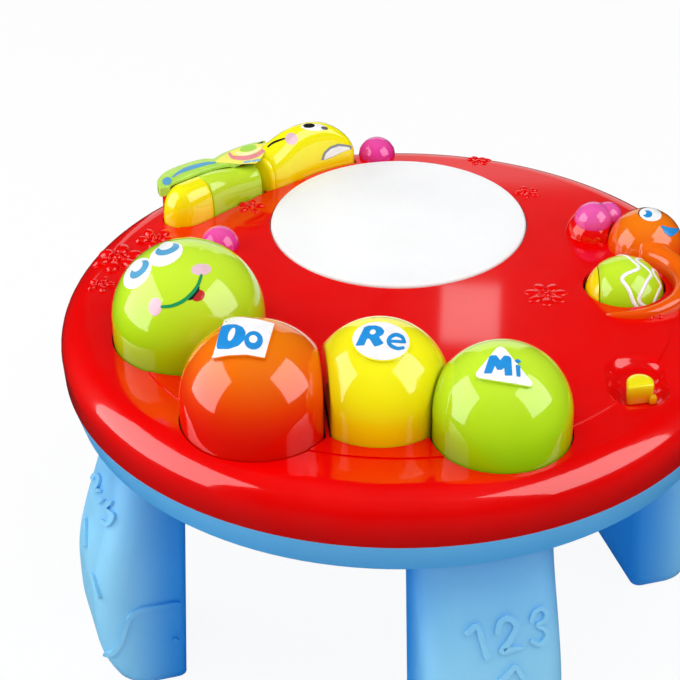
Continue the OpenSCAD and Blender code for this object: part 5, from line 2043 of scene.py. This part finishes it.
        low = calc("MULTIPLY_ADD", calc("SUBTRACT", far, radius), 0.3, radius)
        pressed = add(VECTOR, {"operation": "SCALE", 0: unit, "Scale": low})
        shaped = add(MOVED, {0: tube, "Position": pressed})
        growth.close(shaped, material)
        return growth


# ---- slide switch ----


@dataclass
class Switch(SubAssembly):
    """Yellow knob that slides in the oval dish."""

    at: Point2 = (100.5, -72.5)
    width: float = 11.4
    low: float = 162.9
    top: float = 171.8
    slant: float = 2.6
    stem_foot: float = 156.0

    def outline(self, inset: float) -> list[Point2]:
        """Gives the knob's plan: rounded back, slanting front with soft corners.

        Args:
            inset: How far it is drawn in.

        Returns:
            The closed outline.
        """
        half = self.width / 2
        back = [polar(a, half) for a in range(0, 181, 10)]
        corners = [(-half, 0.0), (-half, -half), (half, -half + self.slant), (half, 0.0)]
        front = rounded(corners, 1.8, 4)[6:-6]
        plan = [Vector(p) * (1 - inset / half) for p in back + front]
        return [(self.at[0] + p.x, self.at[1] + p.y) for p in plan]

    def build(self) -> None:
        """Builds the knob with its stem and finger rib."""
        bm = bmesh.new()
        low, top = self.low, self.top
        rounding = ((0.3, low), (0.0, low + 0.4), (0.0, top - 1.3), (0.15, top - 0.7),
                    (0.5, top - 0.25), (1.1, top), (2.6, top + 0.12))
        add_loft(bm, [[Vector((*p, z)) for p in self.outline(inset)] for inset, z in rounding])
        x, y = self.at
        stem = [(x - 2, y - 2), (x + 2, y - 2), (x + 2, y + 2), (x - 2, y + 2)]
        add_loft(bm, [[Vector((*p, z)) for p in stem] for z in (self.stem_foot, low + 0.5)])
        corners = [(x + 3.2, y - 5.0), (x + 6.6, y - 4.6), (x + 7.4, y - 2.4), (x + 5.6, y - 0.6)]
        rib = rounded(corners, 1.2, 3)
        heights = ((0.1, low), (0.0, low + 0.3), (0.0, low + 2.4), (0.3, low + 3.2))
        add_loft(bm, [[Vector((px + (x + 5.4 - px) * k, py + (y - 3.0 - py) * k, z)) for px, py in rib]
                      for k, z in heights])
        knob = from_bmesh("switch_knob_cap", bm, 45)
        self.place(knob, "switch_knob", "yellow_cap", KNOB_YELLOW, ["switch_knob"])


# ---- reliefs and screws ----


@dataclass(frozen=True)
class Bloom:
    """One moulded flower: place, size and number of petals."""

    at: Point2
    reach: float
    petals: int
    turn: float = 0.0
    height: float = 1.0


@dataclass
class Reliefs(SubAssembly):
    """Flowers moulded into the red shell."""

    blooms: tuple[Bloom, ...] = (
        Bloom((66.0, 4.0), 9.6, 7, 12, 1.1),
        Bloom((62.2, 98.6), 6.2, 5, 40, 1.1),
        Bloom((-70.6, 84.6), 6.8, 5, 10, 1.2),
        Bloom((-129.0, 36.0), 12.0, 6, 20, 2.2),
        Bloom((-113.5, 54.0), 9.0, 5, 50, 2.0),
        Bloom((-134.0, 12.5), 6.6, 5, 0, 1.5),
        Bloom((112.0, -12.0), 5.0, 5, 30, 1.1),
        Bloom((40.0, 134.0), 6.0, 6, 0, 1.1),
    )

    def growth(self, material: Material) -> Growth:
        """Builds the tree of a flower: petals and beads in rings round a button.

        Args:
            material: The flower's finish.

        Returns:
            The tree, with inputs for the reach, the height and the number of petals.
        """
        growth = Growth("moulded_flower")
        add, calc = growth.add, growth.math
        reach, height = growth.size("Reach"), growth.size("Height")
        petals = growth.size("Petals", whole=True)
        parts = []
        for place, long, wide in ((0.66, 0.36, 0.26), (0.32, 0.08, 0.12)):
            ring = add("GeometryNodeMeshCircle", {
                "Vertices": petals, "Radius": calc("MULTIPLY", reach, place),
            })
            ball = add(SPHERE, {"Segments": 20, "Rings": 12, "Radius": 1.0})
            shape = add(AXES, {
                0: calc("MULTIPLY", reach, long), 1: calc("MULTIPLY", reach, wide), 2: height,
            })
            body = add(SCALED, {0: ball, "Scale": shape})
            spot = add("GeometryNodeInputPosition")
            aim = add("FunctionNodeAlignRotationToVector", {"axis": "X", "Vector": spot})
            set_out = add("GeometryNodeInstanceOnPoints", {
                "Points": ring, "Instance": body, "Rotation": aim,
            })
            parts.append(set_out)
        button = add(SPHERE, {"Segments": 24, "Rings": 12, "Radius": 1.0})
        girth = add(AXES, {
            0: calc("MULTIPLY", reach, 0.18), 1: calc("MULTIPLY", reach, 0.18), 2: height,
        })
        middle = add(SCALED, {0: button, "Scale": girth})
        join = add("GeometryNodeJoinGeometry")
        for part in (*parts, middle):
            fill(join.inputs[0], part)
        growth.close(join, material)
        return growth

    def build(self) -> None:
        """Lays every flower on the shell."""
        growth = self.growth(self.paints.of(RED))
        shell = surface_of(self.frame["nodes"]["top_shell"])
        for i, bloom in enumerate(self.blooms):
            flower = growth.grow(f"moulded_flower_{i}", [], {
                "Reach": bloom.reach * MM, "Height": bloom.height * MM, "Petals": bloom.petals,
            })
            draped(smoothed(flower), shell, bloom.at, bloom.turn)
            self.place(flower, "table", "red_shell", RED)


@dataclass
class ScrewHeads(SubAssembly):
    """Cross-recessed heads of the screws that show from below."""

    shell_turns: tuple[float, ...] = (-44.0, 46.0, 150.0, 243.0)
    boss_reach: float = 138.0
    shell_z: float = 137.0
    door_lift: float = 0.3
    head_r: float = 2.5
    door_head_r: float = 1.4

    def growth(self, material: Material) -> Growth:
        """Builds the tree that sets a domed, crossed head on every base point.

        Args:
            material: The screws' finish.

        Returns:
            The tree, with an input for the head's radius.
        """
        growth = Growth("screw_heads")
        add, calc = growth.add, growth.math
        radius = growth.size("Head radius")
        ball = add(SPHERE, {"Segments": 28, "Rings": 14, "Radius": 1.0})
        rise = calc("MULTIPLY", radius, 0.45)
        dome = add(AXES, {0: radius, 1: radius, 2: rise})
        head = add(SCALED, {0: ball, "Scale": dome})
        cut = head
        for turn in (0.0, pi / 2):
            sides = add(AXES, {
                i: calc("MULTIPLY", radius, share) for i, share in enumerate((1.2, 0.24, 0.7))
            })
            bar = add("GeometryNodeMeshCube", {"Size": sides})
            drop = add(AXES, {2: calc("MULTIPLY", radius, -0.42)})
            set_bar = add(SCALED, {
                0: bar, "Rotation": (0.0, 0.0, turn), "Translation": drop,
            })
            carve = {"operation": "DIFFERENCE", "solver": "EXACT", 0: cut, 1: set_bar}
            cut = add("GeometryNodeMeshBoolean", carve)
        growth.set_on_base(cut, material)
        return growth

    def build(self) -> None:
        """Sets a head on every screw of the shell and on the door's screw."""
        growth = self.growth(self.paints.of(Metal.ZINC_STEEL))
        spots = []
        for turn in self.shell_turns:
            x, y = polar(turn, self.boss_reach)
            spots.append(Vector((y, -x, self.shell_z)) * MM)
        heads = growth.grow("shell_screw_heads", spots, {"Head radius": self.head_r * MM})
        self.place(heads, "table", "steel", Metal.ZINC_STEEL)
        low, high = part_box("door_screw")
        door = Vector(((low[0] + high[0]) / 2, (low[1] + high[1]) / 2, low[2] + self.door_lift * MM))
        head = growth.grow("door_screw_head", [door], {"Head radius": self.door_head_r * MM})
        self.place(head, "table", "steel", Metal.ZINC_STEEL)


# ---- insides ----


@dataclass
class Insides(SubAssembly):
    """Everything inside the shells, with coil springs wound under the keys."""

    coil_r: float = 5.0
    wire_r: float = 0.5
    coil_turns: float = 5.5
    closed_share: float = 0.13
    drum_travel: float = 2.0
    key_travel: float = 3.0
    joints: tuple[tuple[str, str], ...] = (
        ("spring_do", "do_press"), ("spring_re", "re_press"), ("spring_mi", "mi_press"),
        ("spring_head", "head_press"), ("spring_butterfly_tail", "tail_press"),
        ("spring_butterfly_body", "body_press"), ("spring_butterfly_head", "bfly_head_press"),
        ("drum_springs", "drum_press"),
    )

    def growth(self, material: Material) -> Growth:
        """Builds the tree that winds a coil with closed ends on every base point.

        Args:
            material: The wire's finish.

        Returns:
            The tree, with inputs for the coil, the wire and the height.
        """
        growth = Growth("coil_spring")
        add, calc = growth.add, growth.math
        coil, wire, height = (growth.size(name) for name in ("Coil radius", "Wire radius", "Height"))
        rise = calc("SUBTRACT", height, calc("MULTIPLY", wire, 2.0))
        spiral = add("GeometryNodeCurveSpiral", {"Resolution": 24, "Rotations": self.coil_turns}, {
            "Start Radius": coil, "End Radius": coil, "Height": rise,
        })
        spot = add("ShaderNodeSeparateXYZ", {0: add("GeometryNodeInputPosition")})
        share = add(RANGE, {
            0: calc("DIVIDE", spot.outputs[2], rise),
            1: self.closed_share, 2: 1 - self.closed_share, 3: 0.0, 4: 1.0,
        })
        level = calc("ADD", calc("MULTIPLY", share, rise), wire)
        lifted = add(AXES, {0: spot, 1: spot.outputs[1], 2: level})
        closed = add(MOVED, {
            "Geometry": spiral, "Position": lifted,
        })
        ring = add("GeometryNodeCurvePrimitiveCircle", {"Resolution": 8, "Radius": wire})
        tube = add("GeometryNodeCurveToMesh", {
            "Fill Caps": True, "Curve": closed, "Profile Curve": ring,
        })
        growth.set_on_base(tube, material)
        return growth

    def springs(self) -> None:
        """Winds every spring between its carrier and its key."""
        growth = self.growth(self.paints.of(Metal.ZINC_STEEL))
        for node, joint in self.joints:
            low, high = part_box(node)
            height = high[2] - low[2]
            feet = [Vector(((low[0] + high[0]) / 2, (low[1] + high[1]) / 2, low[2]))]
            if node == "drum_springs":
                ends = [polar(turn, DRUM_PIN_REACH) for turn in DRUM_PIN_TURNS]
                feet = [Vector(((DRUM_AT[0] + x) * MM, (DRUM_AT[1] + y) * MM, low[2])) for x, y in ends]
            coil = growth.grow(f"{node}_coil", feet, {
                "Coil radius": self.coil_r * MM, "Wire radius": self.wire_r * MM, "Height": height,
            })
            self.place(smoothed(coil), "table", "steel", Metal.ZINC_STEEL, [node])
            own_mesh(coil)

    def build(self) -> None:
        """Dresses the carriers, boards, cells and fasteners, and winds the springs."""
        for finish, nodes in (
            (CARRIER, ("drum_frame", "key_frame", "butterfly_frame", "roller_bracket", "speaker_ring")),
            (BOARD, ("key_board", "butterfly_board", "main_board")),
            (Metal.ZINC_STEEL, ("shell_screws", "frame_screws", "door_screw", "roller_axle")),
            (Metal.NICKEL_STRIP, ("battery_contacts",)), (Metal.BLACK_STEEL, ("speaker",)),
            (Metal.FOIL_WRAP, ("batteries",)), (RUBBER, ("contact_pads",)),
            (CASE, ("slide_switch",)), (LENS, ("led_lamps",)),
        ):
            for node in nodes:
                self.dress(node, finish)
        self.springs()


# ---- main ----


def main(frame: dict[str, Any]) -> None:
    """Builds every sub-assembly in order.
    """
    logging.basicConfig(level=logging.INFO, format="%(message)s")
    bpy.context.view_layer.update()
    paints = Paints()
    Studio(ViewPoint()).build()
    for kind in (Shells, Legs, Worm, Drum, Butterfly, Snail, Switch, Reliefs, ScrewHeads, Insides):
        kind(frame, paints).build()


if __name__ == "__main__":
    main(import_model())
